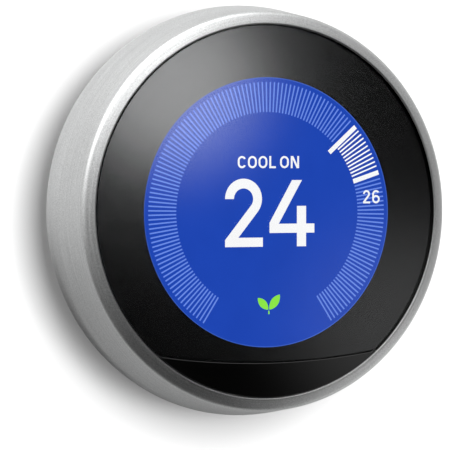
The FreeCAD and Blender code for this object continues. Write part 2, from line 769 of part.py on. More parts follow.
def make_sensor_window():
    """Dark window that completes the disc below the seam."""
    body = new_body("sensor_window")
    depth = "lens_thickness + mask_thickness"
    raise_from(body, "mask_rear", [("0", "0", "lens_radius")], depth)
    round_edges(body, "lens_round", is_hoop("lens_radius", "overall_depth"))
    sink(body, "overall_depth", [("0", "seam_centre", "seam_radius + seam_gap / 2")], depth)


def make_lens_mask():
    """Black film behind the glass with a clear round for the display."""
    body = new_body("lens_mask")
    loops = [("0", "0", "mask_radius"), ("0", "-display_drop", "clear_radius")]
    raise_from(body, "mask_rear", loops, "mask_thickness")
    keep_above_seam(body, "lens_rear", "mask_thickness", "2 * seam_gap")


def make_display():
    """Round display panel and the backlight behind it."""
    panel = new_body("display_panel")
    raise_from(panel, "display_rear", [("0", "-display_drop", "display_radius")],
               "display_thickness")
    light = new_body("display_backlight")
    raise_from(light, "backlight_rear", [("0", "-display_drop", "backlight_radius")],
               "backlight_thickness")


def make_display_flex():
    """Flat cable from the display down to its connector on the main board."""
    body = new_body("display_flex")
    inner = "flex_right"
    outer = "flex_right + flex_thickness"
    stepped = "flex_right + flex_bend"
    knee = "head_floor_rear - press_travel / 2"
    foot = "board_front + chip_depth"
    strip(body, [
        (inner, "backlight_rear"),
        (outer, "backlight_rear"),
        (outer, knee),
        (f"{stepped} + flex_thickness", f"({knee} + {foot}) / 2"),
        (f"{stepped} + flex_thickness", foot),
        (stepped, foot),
        (stepped, f"({knee} + {foot}) / 2"),
        (inner, knee),
    ], "flex_width")


def make_sensors():
    """Lens array, board and sensors behind the window, and the rotation sensor."""
    lens = new_body("sensor_lens")
    rear = "mask_rear - sensor_lens_depth"
    shape = box_corners("0", "-sensor_down", "sensor_lens_width", "sensor_lens_height")
    raise_from(lens, rear, [shape], "sensor_lens_depth")
    first = f"-{GROOVE_COUNT - 1} / 2 * lens_groove_pitch"
    groove = box_corners(first, "-sensor_down", "lens_groove", "sensor_lens_height")
    cutter = sink(lens, f"{rear} + lens_groove", [groove], "lens_groove")
    along(lens, [cutter], "X_Axis", "lens_groove_pitch", GROOVE_COUNT)
    block("sensor_board", "0", "-sensor_down", "sensor_board_width", "sensor_lens_height",
          "sensor_board_level", "sensor_board_thickness")
    motion = new_body("motion_sensor")
    can = box_corners("0", "-sensor_down", "motion_width", "motion_height")
    raise_from(motion, "sensor_board_front", [can], "motion_depth")
    pane = box_corners("0", "-sensor_down", "motion_width / 2", "motion_height / 2")
    sink(motion, "sensor_board_front + motion_depth", [pane], "lens_groove")
    block("light_sensor", "light_right", "-sensor_down", "light_side", "light_side",
          "sensor_board_front", "light_depth")
    block("rotation_sensor", "-rotation_left", "0", "rotation_width", "rotation_height",
          "flange_rear - rotation_depth", "rotation_depth")


def make_press_plunger():
    """Stud under the head that reaches for the click switch."""
    body = new_body("press_plunger")
    end = "board_front + switch_height + press_travel + press_spare"
    raise_from(body, end, [("0", "-switch_down", "switch_radius / 2")],
               f"head_floor_rear - ({end})")


# ---- chassis: what pulls off the base -------------------------------------


def make_rear_housing():
    """Cup with a floor, a wall inside the head, a board ledge and screw bosses."""
    body = new_body("rear_housing")
    turn(body, [
        ("0", "floor_level"),
        ("skirt_radius", "floor_level"),
        ("skirt_radius", "floor_front"),
        ("chassis_radius", "floor_front"),
        ("chassis_radius", "stop_rear"),
        ("stop_root", "stop_rear"),
        ("stop_root", "stop_front"),
        ("chassis_radius", "stop_front"),
        ("chassis_radius", "chassis_top"),
        ("chassis_bore", "chassis_top"),
        ("chassis_bore", "board_level"),
        ("ledge_radius", "board_level"),
        ("ledge_radius", "floor_front"),
        ("0", "floor_front"),
    ])
    round_edges(body, "skirt_round", is_hoop("skirt_radius", "floor_front"))
    place = "chassis_screw_place"
    boss = raise_from(body, "floor_front", [(place, place, "boss_radius")],
                      "board_level - floor_front")
    hole = sink(body, "board_level", [(place, place, "screw_hole")], "screw_length")
    around(body, [boss, hole], 4)
    plug_way = box_corners("0", "-plug_down", "cavity_width", "cavity_height")
    port_way = box_corners("0", "-port_down", "port_width + 2 * port_play",
                           "port_height + 2 * port_play")
    sink(body, "floor_front", [plug_way, port_way], "chassis_floor")


def make_rear_skirt():
    """Hoop on the back of the housing that covers the base."""
    body = new_body("rear_skirt")
    turn(body, [
        ("skirt_bore", "skirt_level"),
        ("skirt_radius", "skirt_level"),
        ("skirt_radius", "floor_level"),
        ("skirt_bore", "floor_level"),
    ])


def make_screws(label, place, level):
    """Four cross-recess screws whose heads rest on a level."""
    body = new_body(label)
    head = raise_from(body, level, [(place, place, "screw_head_radius")], "screw_head_height")
    shank = raise_from(body, f"{level} - screw_length", [(place, place, "screw_radius")],
                       "screw_length")
    top = f"{level} + screw_head_height"
    across = sink(body, top, [box_corners(place, place, "cross_length", "cross_width")],
                  "cross_depth")
    upright = sink(body, top, [box_corners(place, place, "cross_width", "cross_length")],
                   "cross_depth")
    around(body, [head, shank, across, upright], 4)


def make_rear_plug():
    """Plug on the chassis floor whose tongue reaches into the base socket."""
    body = new_body("rear_plug")
    flange = box_corners("0", "-plug_down", "plug_width", "plug_height")
    raise_from(body, "floor_front", [flange], "plug_depth")
    tongue = box_corners("0", "-plug_down", "tongue_width", "tongue_height")
    raise_from(body, "tongue_level", [tongue], "floor_front - tongue_level")


def make_pins(label, from_middle, level):
    """Two rows of contact strips, one row on each side of the tongue."""
    body = new_body(label)
    for sign in "-+":
        row = f"-plug_down {sign} ({from_middle})"
        first = box_corners(f"-{PIN_COUNT - 1} / 2 * pin_pitch", row, "pin_width",
                            "pin_thickness")
        strip_pad = raise_from(body, level, [first], "pin_length")
        along(body, [strip_pad], "X_Axis", "pin_pitch", PIN_COUNT)


def make_main_board():
    """Round circuit board that lies on the chassis ledge."""
    body = new_body("main_board")
    raise_from(body, "board_level", [("0", "0", "chassis_bore - board_play")],
               "board_thickness")
    place = "chassis_screw_place"
    hole = sink(body, "board_front", [(place, place, "screw_pass")], "board_thickness")
    around(body, [hole], 4)


def make_board_parts():
    """Shields, chips and connector in front, speaker and service port behind."""
    for label, middle, width, height in (
        ("processor_shield", "-processor_left", "processor_side", "processor_side"),
        ("radio_shield", "radio_right", "radio_width", "radio_height"),
    ):
        body = new_body(label)
        raise_from(body, "board_front", [box_corners(middle, "shield_up", width, height)],
                   "shield_depth")
        round_edges(body, "shield_round", is_at("board_front + shield_depth"))
    chips = new_body("board_chips")
    for side in ("", "-"):
        raise_from(chips, "board_front",
                   [box_corners(f"{side}chip_right", "-chip_down", "chip_side", "chip_side")],
                   "chip_depth")
    socket = box_corners("flex_right + flex_bend + flex_thickness / 2", "0",
                         "connector_width", "flex_width + 2 * flex_margin")
    raise_from(chips, "board_front", [socket], "chip_depth")
    speaker = new_body("speaker")
    raise_from(speaker, "board_level - speaker_depth",
               [("-speaker_left", "battery_up", "speaker_radius")], "speaker_depth")
    cut(speaker, "XZ_Plane", "board_level - speaker_depth",
        [("-speaker_left", "battery_up", "speaker_hole")], "speaker_hole", along_normal=True)


def make_service_port():
    """Small upright socket that opens through the chassis floor."""
    body = new_body("service_port")
    rear = "floor_level + port_sink"
    shell = box_corners("0", "-port_down", "port_width", "port_height")
    raise_from(body, rear, [shell], f"board_level - ({rear})")
    cavity = box_corners("0", "-port_down", "port_width - 2 * port_wall",
                         "port_height - 2 * port_wall")
    tongue = box_corners("0", "-port_down", "port_tongue_width", "port_tongue")
    cut(body, "XZ_Plane", rear, [cavity, tongue], "port_cavity", along_normal=True)


def make_battery():
    body = new_body("battery")
    outline = box_corners("battery_right", "battery_up", "battery_width", "battery_height")
    raise_from(body, "floor_front", [outline], "battery_thickness")
    round_edges(body, "battery_round", is_upright)


def make_click_switch():
    """Square switch body with a round dome on top."""
    body = new_body("click_switch")
    side = "2 * switch_radius"
    raise_from(body, "board_front", [box_corners("0", "-switch_down", side, side)],
               "switch_height / 2")
    raise_from(body, "board_front + switch_height / 2",
               [("0", "-switch_down", "switch_radius * 3 / 4")], "switch_height / 2")


def make_press_springs():
    """Three bent steel strips between the main board and the head frame."""
    body = new_body("press_springs")
    low, high = "board_front", "flange_rear"
    middle = f"({low} + {high}) / 2"
    thick = "press_spring_strip"
    arm = strip(body, [
        ("spring_low", low),
        ("spring_high", low),
        ("spring_low + 2 * press_spring_strip", middle),
        ("spring_high", high),
        ("spring_low", high),
        ("spring_low", f"{high} - {thick}"),
        (f"spring_high - 2 * {thick}", f"{high} - {thick}"),
        ("spring_low", middle),
        (f"spring_high - 2 * {thick}", f"{low} + {thick}"),
        ("spring_low", f"{low} + {thick}"),
    ], "press_spring_width")
    around(body, [arm], 3)


# ---- base: what stays on the wall -----------------------------------------


def make_base_plate():
    """Tray against the wall, open for wires, with wall screw holes and bosses."""
    body = new_body("base_plate")
    turn(body, [
        ("wire_hole_radius", "0"),
        ("base_flange_radius", "0"),
        ("base_flange_radius", "base_flange"),
        ("base_radius", "base_flange"),
        ("base_radius", "base_depth"),
        ("base_bore", "base_depth"),
        ("base_bore", "base_floor"),
        ("wire_hole_radius", "base_floor"),
    ])
    round_edges(body, "wire_hole_round", is_hoop("wire_hole_radius", "base_floor"))
    recess = [("0", "0", "recess_outer"), ("0", "0", "recess_inner")]
    cut(body, "XZ_Plane", "0", recess, "rear_recess_depth", along_normal=True)
    spoke = box_corners("0", "(recess_inner + recess_outer) / 2", "recess_rib",
                        "recess_outer - recess_inner + 2 * recess_rib")
    rib = raise_from(body, "0", [spoke], "rear_recess_depth")
    around(body, [rib], 8)
    up = "wall_screw_up"
    pad = raise_from(body, "base_floor", [("0", up, "wall_screw_pad")],
                     "base_board_level - base_floor")
    hole = sink(body, "base_board_level", [("0", up, "wall_screw_radius")],
                "base_board_level")
    around(body, [pad, hole], 2)
    place = "base_screw_place"
    foot = raise_from(body, "base_floor", [(place, place, "standoff_radius")],
                      "base_board_level - base_floor")
    boss = raise_from(body, "base_board_level", [(place, place, "boss_radius")],
                      "cover_level - base_board_level")
    blind = sink(body, "cover_level", [(place, place, "screw_hole")],
                 "cover_level - base_floor / 2")
    around(body, [foot, boss, blind], 4)


def make_base_board():
    """Circuit board of the base, round the wire opening."""
    body = new_body("base_board")
    raise_from(body, "base_board_level",
               [("0", "0", "base_board_radius"), ("0", "0", "well_radius")],
               "base_board_thickness")
    place = "base_screw_place"
    hole = sink(body, "base_board_front", [(place, place, "boss_radius + window_play")],
                "base_board_thickness")
    around(body, [hole], 4)
    notch = sink(body, "base_board_front",
                 [("0", "wall_screw_up", "wall_screw_access")],
                 "base_board_thickness")
    around(body, [notch], 2)


def make_base_cover():
    """Cover plate with windows for terminals, level, socket and wall screws."""
    body = new_body("base_cover")
    raise_from(body, "cover_level", [("0", "0", "cover_radius")], "cover_thickness")
    play = "2 * window_play"
    terminals = box_corners("0", "0", f"2 * block_outer + {play}",
                            f"block_length + {play}")
    sink(body, "cover_front", [terminals], "cover_thickness")
    round_edges(body, "block_round + window_play", is_upright)
    level = box_corners("0", "vial_up", f"vial_length + {play}", f"2 * vial_radius + {play}")
    socket = box_corners("0", "-plug_down", f"socket_width + {play}",
                         f"socket_height + {play}")
    sink(body, "cover_front", [level, socket], "cover_thickness")
    notch = sink(body, "cover_front",
                 [("0", "wall_screw_up", "wall_screw_access")], "cover_thickness")
    around(body, [notch], 2)
    place = "base_screw_place"
    hole = sink(body, "cover_front", [(place, place, "screw_pass")], "cover_thickness")
    around(body, [hole], 4)


def make_terminal_block(label, side):
    """Block of five terminals: wire ports facing the opening, slots for the tabs."""
    body = new_body(label)
    outline = box_corners(f"{side}(block_inner + block_width / 2)", "0", "block_width",
                          "block_length")
    raise_from(body, "base_board_front", [outline], "block_front - base_board_front")
    round_edges(body, "block_round", is_upright)
    slot = box_corners(f"{side}tab_middle", FIRST_TERMINAL, "tab_slot_width",
                       "tab_slot_height")
    slots = sink(body, "block_front", [slot], "block_front - slot_level")
    along(body, [slots], "Z_Axis", "terminal_pitch", TERMINAL_COUNT)
    inward = "block_inner" if side == "" else "-tab_middle"
    port = [("-port_level", FIRST_TERMINAL, "port_radius")]
    ports = bore_sideways(body, inward, port, "tab_inset")
    along(body, [ports], "Z_Axis", "terminal_pitch", TERMINAL_COUNT)


def make_terminal_parts():
    """Contact plates and bent return springs on the slot floors, ten of each."""
    contacts = new_body("terminal_contacts")
    springs = new_body("terminal_springs")
    for side in ("", "-"):
        first = box_corners(f"{side}tab_middle", FIRST_TERMINAL, "tab_width",
                            "contact_height")
        plate = raise_from(contacts, "slot_level", [first], "contact_thickness")
        along(contacts, [plate], "Z_Axis", "terminal_pitch", TERMINAL_COUNT)
        low = "contact_front"
        inner = "tab_middle - tab_width / 2 + spring_strip"
        outer = "tab_middle + tab_width / 2 - spring_strip"
        sketch = new_sketch(springs, "XY_Plane", FIRST_TERMINAL)
        bend = [
            (inner, low),
            (f"{inner} + 2 * spring_strip", low),
            ("tab_middle", "tab_foot - spring_strip"),
            (f"{outer} - 2 * spring_strip", low),
            (outer, low),
            ("tab_middle", "tab_foot"),
        ]
        corners = [(f"{side}({across})", f"-({level})") for across, level in bend]
        draw_polygon(sketch, corners)
        leaf = springs.newObject("PartDesign::Pad", "terminal_leaf")
        leaf.Profile = sketch
        leaf.Midplane = True
        bind(leaf, "Length", "spring_width")
        doc.recompute()
        along(springs, [leaf], "Z_Axis", "terminal_pitch", TERMINAL_COUNT)


def make_terminal_tab(index, side, step):
    """One push tab that frees its wire when it is pressed in."""
    body = new_body(f"terminal_tab_{index}")
    height = f"{FIRST_TERMINAL} + {step} * terminal_pitch"
    outline = box_corners(f"{side}tab_middle", height, "tab_width", "tab_height")
    raise_from(body, "tab_foot", [outline], "tab_front - tab_foot")
    round_edges(body, "tab_round", is_at("tab_front"))


def make_level():
    """Bubble level: holder on the base board, glass vial, liquid with its bubble."""
    holder = new_body("level_holder")
    outline = box_corners("0", "vial_up", "vial_length + 2 * holder_wall", "holder_height")
    raise_from(holder, "base_board_front", [outline], "cover_lift - holder_cover_gap")
    trough = [("-vial_level", "vial_up", "vial_radius + vial_play")]
    bore_sideways(holder, "-vial_length / 2 - vial_play", trough,
                  "vial_length + 2 * vial_play")
    outside = lying_rod("vial_outside", "vial_radius", "vial_length")
    bore = lying_rod("vial_bore", "vial_radius - vial_wall", "vial_length")
    vial = node(doc.addObject("Part::Cut", "level_vial"), "level_vial")
    vial.Base, vial.Tool = outside, bore
    filling = lying_rod("vial_filling", "vial_radius - vial_wall - vial_play", "vial_length")
    bubble = doc.addObject("Part::Sphere", "vial_bubble")
    bind(bubble, "Radius", "bubble_radius")
    bind(bubble, "Placement.Base.y", "-vial_level")
    bind(bubble, "Placement.Base.z", "vial_up + bubble_rise")
    liquid = node(doc.addObject("Part::Cut", "level_liquid"), "level_liquid")
    liquid.Base, liquid.Tool = filling, bubble


def lying_rod(name, radius, length):
    """A cylinder along X on the vial's axis, as a step towards the level's parts."""
    rod = doc.addObject("Part::Cylinder", name)
    rod.Placement = FreeCAD.Placement(
        FreeCAD.Vector(), FreeCAD.Rotation(FreeCAD.Vector(0, 1, 0), 90))
    bind(rod, "Radius", radius)
    bind(rod, "Height", length)
    bind(rod, "Placement.Base.x", f"-({length}) / 2")
    bind(rod, "Placement.Base.y", "-vial_level")
    bind(rod, "Placement.Base.z", "vial_up")
    return rod


def make_base_socket():
    """Socket of the base that takes the plug's tongue."""
    body = new_body("base_socket")
    shell = box_corners("0", "-plug_down", "socket_width", "socket_height")
    raise_from(body, "base_board_front", [shell], "socket_front - base_board_front")
    cavity = box_corners("0", "-plug_down", "cavity_width", "cavity_height")
    sink(body, "socket_front", [cavity], "socket_front - cavity_level")


# ---- the whole ------------------------------------------------------------


make_base_plate()
make_base_board()
make_base_cover()
make_screws("base_cover_screws", "base_screw_place", "cover_front")
make_terminal_block("terminal_block_right", "")
make_terminal_block("terminal_block_left", "-")
make_terminal_parts()
TERMINALS = [(side, step) for side in ("", "-") for step in range(TERMINAL_COUNT)]
for index, (side, step) in enumerate(TERMINALS, start=1):
    make_terminal_tab(index, side, step)
make_level()
make_base_socket()
make_pins("base_socket_pins", "cavity_height / 2 - pin_thickness / 2", "cavity_level")

make_rear_housing()
make_rear_skirt()
make_screws("housing_screws", "chassis_screw_place", "board_front")
make_clip_ring("stop_ring", "stop_root", "stop_outside", "stop_rear")
make_rear_plug()
make_pins("rear_plug_pins", "tongue_height / 2 + pin_thickness / 2", "tongue_level")
make_main_board()
make_board_parts()
make_service_port()
make_battery()
make_click_switch()
make_press_springs()

make_head_frame()
make_bearing_sleeve()
make_clip_ring("retaining_ring", "clip_root", "head_wall_radius + clip_reach", "clip_rear")
make_front_lens()
make_sensor_window()
make_lens_mask()
make_display()
make_display_flex()
make_sensors()
make_press_plunger()

make_outer_ring()
make_ring_carrier()
make_encoder_band()

doc.recompute()
for thing in doc.Objects:
    if {"Invalid", "Error"} & set(thing.State):
        raise RuntimeError(f"{thing.Label} did not compute: {thing.State}")
for piece in NODES:
    if piece.Shape.isNull() or not piece.Shape.isValid() or not piece.Shape.Solids:
        raise RuntimeError(f"{piece.Label} has no valid solid")

os.makedirs("parts", exist_ok=True)
for piece in NODES:
    piece.Shape.exportStep(os.path.join("parts", f"{piece.Label}.step"))
    print(f"{piece.Label}: {len(piece.Shape.Solids)} solid(s), {piece.Shape.Volume:.1f} mm3")
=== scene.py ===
import json
import math

import bmesh
import bpy
from mathutils import Matrix, Vector


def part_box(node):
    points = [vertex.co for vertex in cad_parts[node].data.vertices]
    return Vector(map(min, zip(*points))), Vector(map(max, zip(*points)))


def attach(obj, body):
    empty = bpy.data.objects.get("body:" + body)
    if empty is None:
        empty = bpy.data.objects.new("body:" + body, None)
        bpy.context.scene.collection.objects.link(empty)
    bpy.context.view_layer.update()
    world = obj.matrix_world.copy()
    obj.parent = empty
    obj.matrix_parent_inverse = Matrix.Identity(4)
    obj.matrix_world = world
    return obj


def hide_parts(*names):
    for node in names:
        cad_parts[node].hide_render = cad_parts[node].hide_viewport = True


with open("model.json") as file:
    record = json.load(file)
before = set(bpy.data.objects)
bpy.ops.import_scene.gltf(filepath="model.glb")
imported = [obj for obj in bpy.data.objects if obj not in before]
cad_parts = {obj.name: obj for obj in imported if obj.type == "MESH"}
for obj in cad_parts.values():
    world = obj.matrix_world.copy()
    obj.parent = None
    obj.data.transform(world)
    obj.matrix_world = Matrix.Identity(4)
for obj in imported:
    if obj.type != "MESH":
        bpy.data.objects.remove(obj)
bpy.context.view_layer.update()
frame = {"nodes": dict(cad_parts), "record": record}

# Wall thermostat with a turning metal ring. The dial faces -Y and the wall is the plane Y = 0.
# A "level" is a distance in front of the wall in millimetres, so a point's Y is minus its level.
MM = 0.001

# ---- sizes taken from the frame, in millimetres ---------------------------


def span(node):
    """Lowest and highest corner of a CAD node, in millimetres."""
    low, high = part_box(node)
    return low / MM, high / MM


RING_HIGH = span("outer_ring")[1]
LENS_LOW, LENS_HIGH = span("front_lens")
WINDOW_HIGH = span("sensor_window")[1]
PANEL_LOW, PANEL_HIGH = span("display_panel")

RING_RADIUS = RING_HIGH.x
RING_REAR = -RING_HIGH.y
LENS_RADIUS = LENS_HIGH.x
FRONT = -LENS_LOW.y
LENS_REAR = -LENS_HIGH.y
WINDOW_REAR = -WINDOW_HIGH.y
PANEL_FRONT = -PANEL_LOW.y
DISPLAY_CENTRE = (PANEL_LOW.z + PANEL_HIGH.z) / 2

# ---- nodes and materials --------------------------------------------------


def linear(code):
    """Turn a hex sRGB colour into linear RGBA."""

    def channel(value):
        share = value / 255
        return share / 12.92 if share <= 0.04045 else ((share + 0.055) / 1.055) ** 2.4

    return tuple(channel(int(code[i:i + 2], 16)) for i in (1, 3, 5)) + (1.0,)


def wire(item, inputs):
    """Set a node's inputs: to values, or links from a socket or a node's first output."""
    for name, value in inputs.items():
        if isinstance(value, bpy.types.Node):
            value = next(socket for socket in value.outputs if socket.enabled)
        if isinstance(value, bpy.types.NodeSocket):
            item.id_data.links.new(value, item.inputs[name])
        else:
            item.inputs[name].default_value = value


def add(tree, kind, inputs=None, **settings):
    """Add a node with its settings and its inputs."""
    item = tree.nodes.new(kind)
    for name, value in settings.items():
        setattr(item, name, value)
    wire(item, inputs or {})
    return item


def new_material(name, values=None):
    """A material, its tree, its shader and the object's own coordinates."""
    material = bpy.data.materials.new(name)
    material.use_nodes = True
    tree = material.node_tree
    shader = tree.nodes["Principled BSDF"]
    wire(shader, values or {})
    place = add(tree, "ShaderNodeTexCoord").outputs["Object"]
    return material, tree, shader, place


def per(millimetres):
    """Texture scale that makes one cell of a pattern this long."""
    return 1 / (millimetres * MM)


def moulded(name, low, high, roughness, grit, depth, ior):
    """Injection-moulded plastic. The spark-eroded tool leaves a fine grit that dulls the gloss,
    and the flow of the melt leaves faint clouds of tone."""
    material, tree, shader, place = new_material(name, {"IOR": ior})
    flow = add(tree, "ShaderNodeTexNoise", {"Vector": place, "Scale": per(9.0)})
    texture = add(tree, "ShaderNodeTexNoise", {"Vector": place, "Scale": per(grit), "Detail": 3.0})
    wire(shader, {
        "Base Color": add(tree, "ShaderNodeMix", {"Factor": flow, "A": linear(low), "B": linear(high)},
                          data_type="RGBA"),
        "Roughness": add(tree, "ShaderNodeMapRange", {
            "Value": texture, "To Min": roughness - 0.07, "To Max": roughness + 0.09}),
        "Normal": add(tree, "ShaderNodeBump", {"Height": texture, "Distance": depth * MM}),
    })
    return material


def sheet_metal(name, low, high, roughness, grain, stretch):
    """Stamped or turned metal. Rolling and wear leave streaks of tone and gloss."""
    material, tree, shader, place = new_material(name, {"Metallic": 1.0})
    drawn = add(tree, "ShaderNodeMapping", {"Vector": place, "Scale": stretch})
    streaks = add(tree, "ShaderNodeTexNoise", {"Vector": drawn, "Scale": per(grain), "Detail": 3.0})
    wire(shader, {
        "Base Color": add(tree, "ShaderNodeMix",
                          {"Factor": streaks, "A": linear(low), "B": linear(high)}, data_type="RGBA"),
        "Roughness": add(tree, "ShaderNodeMapRange", {
            "Value": streaks, "To Min": roughness - 0.08, "To Max": roughness + 0.1}),
        "Normal": add(tree, "ShaderNodeBump", {"Height": streaks, "Distance": 0.004 * MM}),
    })
    return material


def clear_body(name, low, high, ior, transmission, roughness):
    """A see-through or milky body. Slow waves in the gloss keep it from looking like a void."""
    material, tree, shader, place = new_material(
        name, {"IOR": ior, "Transmission Weight": transmission})
    waves = add(tree, "ShaderNodeTexNoise", {"Vector": place, "Scale": per(2.0)})
    wire(shader, {
        "Base Color": add(tree, "ShaderNodeMix", {"Factor": waves, "A": linear(low), "B": linear(high)},
                          data_type="RGBA"),
        "Roughness": add(tree, "ShaderNodeMapRange", {
            "Value": waves, "To Min": roughness, "To Max": roughness + 0.06}),
    })
    return material


def lit(name, low, high, strength):
    """A lit part of the display. It gives its own light, as uneven as a real backlight."""
    material, tree, shader, place = new_material(name, {
        "Base Color": (0.0, 0.0, 0.0, 1.0), "Roughness": 0.7, "Specular IOR Level": 0.0,
        "Emission Strength": strength})
    glow = add(tree, "ShaderNodeTexNoise", {"Vector": place, "Scale": per(7.0)})
    wire(shader, {"Emission Color": add(
        tree, "ShaderNodeMix", {"Factor": glow, "A": linear(low), "B": linear(high)},
        data_type="RGBA")})
    return material


def brushed_stainless():
    """Stainless steel, bead-blasted and brushed round the ring. The lines run round it, so each
    light spreads across them into soft bright and dark parts, with a fine sparkle of grit."""
    material, tree, shader, place = new_material("brushed_stainless", {
        "Metallic": 1.0, "Anisotropic": 0.6, "Anisotropic Rotation": 0.25})
    part = add(tree, "ShaderNodeSeparateXYZ", {"Vector": place})
    flat = add(tree, "ShaderNodeCombineXYZ", {"X": part.outputs["X"], "Z": part.outputs["Z"]})
    radius = add(tree, "ShaderNodeVectorMath", {0: flat}, operation="LENGTH").outputs["Value"]
    heading = add(tree, "ShaderNodeVectorMath", {0: flat}, operation="NORMALIZE")
    # The real lines are 0.05 mm apart and about 20 mm long. These are 0.25 mm apart, to show.
    line_length, line_pitch = 20.0, 0.25
    turns = add(tree, "ShaderNodeVectorMath", {0: heading, "Scale": RING_RADIUS / line_length},
                operation="SCALE")
    across = add(tree, "ShaderNodeMath", {0: radius, 1: part.outputs["Y"]}, operation="SUBTRACT")
    fine = add(tree, "ShaderNodeMath", {0: across, 1: per(line_pitch)}, operation="MULTIPLY")
    along = add(tree, "ShaderNodeVectorMath", {
        0: turns, 1: add(tree, "ShaderNodeCombineXYZ", {"Y": fine})})
    lines = add(tree, "ShaderNodeTexNoise", {"Vector": along, "Scale": 1.0, "Detail": 2.0})
    # The blasted grit is 0.05 mm across. It is drawn at 0.2 mm, to show.
    grit = add(tree, "ShaderNodeTexNoise", {"Vector": place, "Scale": per(0.2), "Detail": 1.0})
    both = add(tree, "ShaderNodeMapRange", {
        "Value": add(tree, "ShaderNodeMix", {"Factor": 0.65, "A": lines, "B": grit}),
        "From Min": 0.3, "From Max": 0.7})
    wire(shader, {
        "Base Color": add(tree, "ShaderNodeMix", {
            "Factor": both, "A": linear("#BEBFBF"), "B": linear("#EEEFEF")}, data_type="RGBA"),
        "Roughness": add(tree, "ShaderNodeMapRange", {"Value": both, "To Min": 0.3, "To Max": 0.46}),
        "Normal": add(tree, "ShaderNodeBump", {"Height": both, "Distance": 0.006 * MM}),
        "Tangent": add(tree, "ShaderNodeTangent", direction_type="RADIAL", axis="Y"),
    })
    return material


def float_glass():
    """Polished float glass. It is clear, with the faintest smears of wiping in its gloss."""
    material, tree, shader, place = new_material("float_glass", {
        "Base Color": linear("#FDFEFF"), "IOR": 1.5, "Transmission Weight": 1.0})
    smears = add(tree, "ShaderNodeTexNoise", {"Vector": place, "Scale": per(14.0), "Detail": 4.0})
    wire(shader, {"Roughness": add(tree, "ShaderNodeMapRange", {
        "Value": smears, "From Min": 0.45, "To Min": 0.0, "To Max": 0.02})})
    return material


def smoked_acrylic():
    """Smoked acrylic, polished. The sensor window looks black and glossy like the glass."""
    material, tree, shader, place = new_material("smoked_acrylic", {
        "IOR": 1.6, "Specular IOR Level": 1.0})
    smears = add(tree, "ShaderNodeTexNoise", {"Vector": place, "Scale": per(14.0), "Detail": 4.0})
    wire(shader, {
        "Base Color": add(tree, "ShaderNodeMix", {
            "Factor": smears, "A": linear("#020202"), "B": linear("#060606")}, data_type="RGBA"),
        "Roughness": add(tree, "ShaderNodeMapRange", {
            "Value": smears, "From Min": 0.45, "To Min": 0.01, "To Max": 0.05}),
    })
    return material


def black_ink():
    """Polyester film printed black, a hair behind the glass. It swallows the light, and its gloss
    adds to the glass's, so reflections are stronger over it than over the display."""
    material, tree, shader, place = new_material("black_printed_polyester", {
        "Roughness": 0.12, "IOR": 1.7, "Specular IOR Level": 1.0})
    mesh_marks = add(tree, "ShaderNodeTexNoise", {"Vector": place, "Scale": per(0.6)})
    wire(shader, {"Base Color": add(
        tree, "ShaderNodeMix", {"Factor": mesh_marks, "A": linear("#020202"), "B": linear("#030303")},
        data_type="RGBA")})
    return material


def edge_paint():
    """Matt black paint on the rim of the glass. It swallows what the rim would mirror."""
    material, tree, shader, place = new_material("matt_black_paint", {
        "Roughness": 0.9, "Specular IOR Level": 0.0})
    brush = add(tree, "ShaderNodeTexNoise", {"Vector": place, "Scale": per(0.4)})
    wire(shader, {"Base Color": add(
        tree, "ShaderNodeMix", {"Factor": brush, "A": linear("#020202"), "B": linear("#040404")},
        data_type="RGBA")})
    return material


def solder_mask():
    """Glass-fibre board under green solder mask. Copper tracks show through as lighter lines
    and tinned pads as small bright dots."""
    material, tree, shader, place = new_material("green_solder_mask", {"IOR": 1.5})
    turned = add(tree, "ShaderNodeMapping", {"Vector": place, "Rotation": (math.pi / 2, 0.0, 0.0)})
    tracks = add(tree, "ShaderNodeTexBrick", {
        "Vector": turned, "Scale": per(2.6), "Color1": linear("#0C4723"), "Color2": linear("#0F5229"),
        "Mortar": linear("#2B7540"), "Mortar Size": 0.05, "Brick Width": 2.4, "Row Height": 0.7})
    pads = add(tree, "ShaderNodeTexVoronoi", {"Vector": turned, "Scale": per(2.2), "Randomness": 0.6})
    round_pad = add(tree, "ShaderNodeMath", {0: pads, 1: 0.13}, operation="LESS_THAN")
    wire(shader, {
        "Base Color": add(tree, "ShaderNodeMix", {
            "Factor": round_pad, "A": tracks, "B": linear("#B9B4A2")}, data_type="RGBA"),
        "Metallic": round_pad,
        "Roughness": add(tree, "ShaderNodeMapRange", {"Value": round_pad, "To Min": 0.38, "To Max": 0.3}),
        "Normal": add(tree, "ShaderNodeBump", {
            "Height": tracks.outputs["Fac"], "Distance": 0.03 * MM}),
    })
    return material


def encoder_film():
    """Printed polyester film. Its even dark bars are what the rotation sensor counts."""
    bar_count = 120.0
    material, tree, shader, place = new_material("printed_polyester", {"Roughness": 0.35})
    part = add(tree, "ShaderNodeSeparateXYZ", {"Vector": place})
    angle = add(tree, "ShaderNodeMath", {0: part.outputs["Z"], 1: part.outputs["X"]},
                operation="ARCTAN2")
    wave = add(tree, "ShaderNodeMath", {0: angle, 1: bar_count}, operation="MULTIPLY")
    swing = add(tree, "ShaderNodeMath", {0: wave}, operation="SINE")
    bars = add(tree, "ShaderNodeMath", {0: swing, 1: 0.0}, operation="GREATER_THAN")
    wire(shader, {"Base Color": add(
        tree, "ShaderNodeMix", {"Factor": bars, "A": linear("#151515"), "B": linear("#BFC0C2")},
        data_type="RGBA")})
    return material


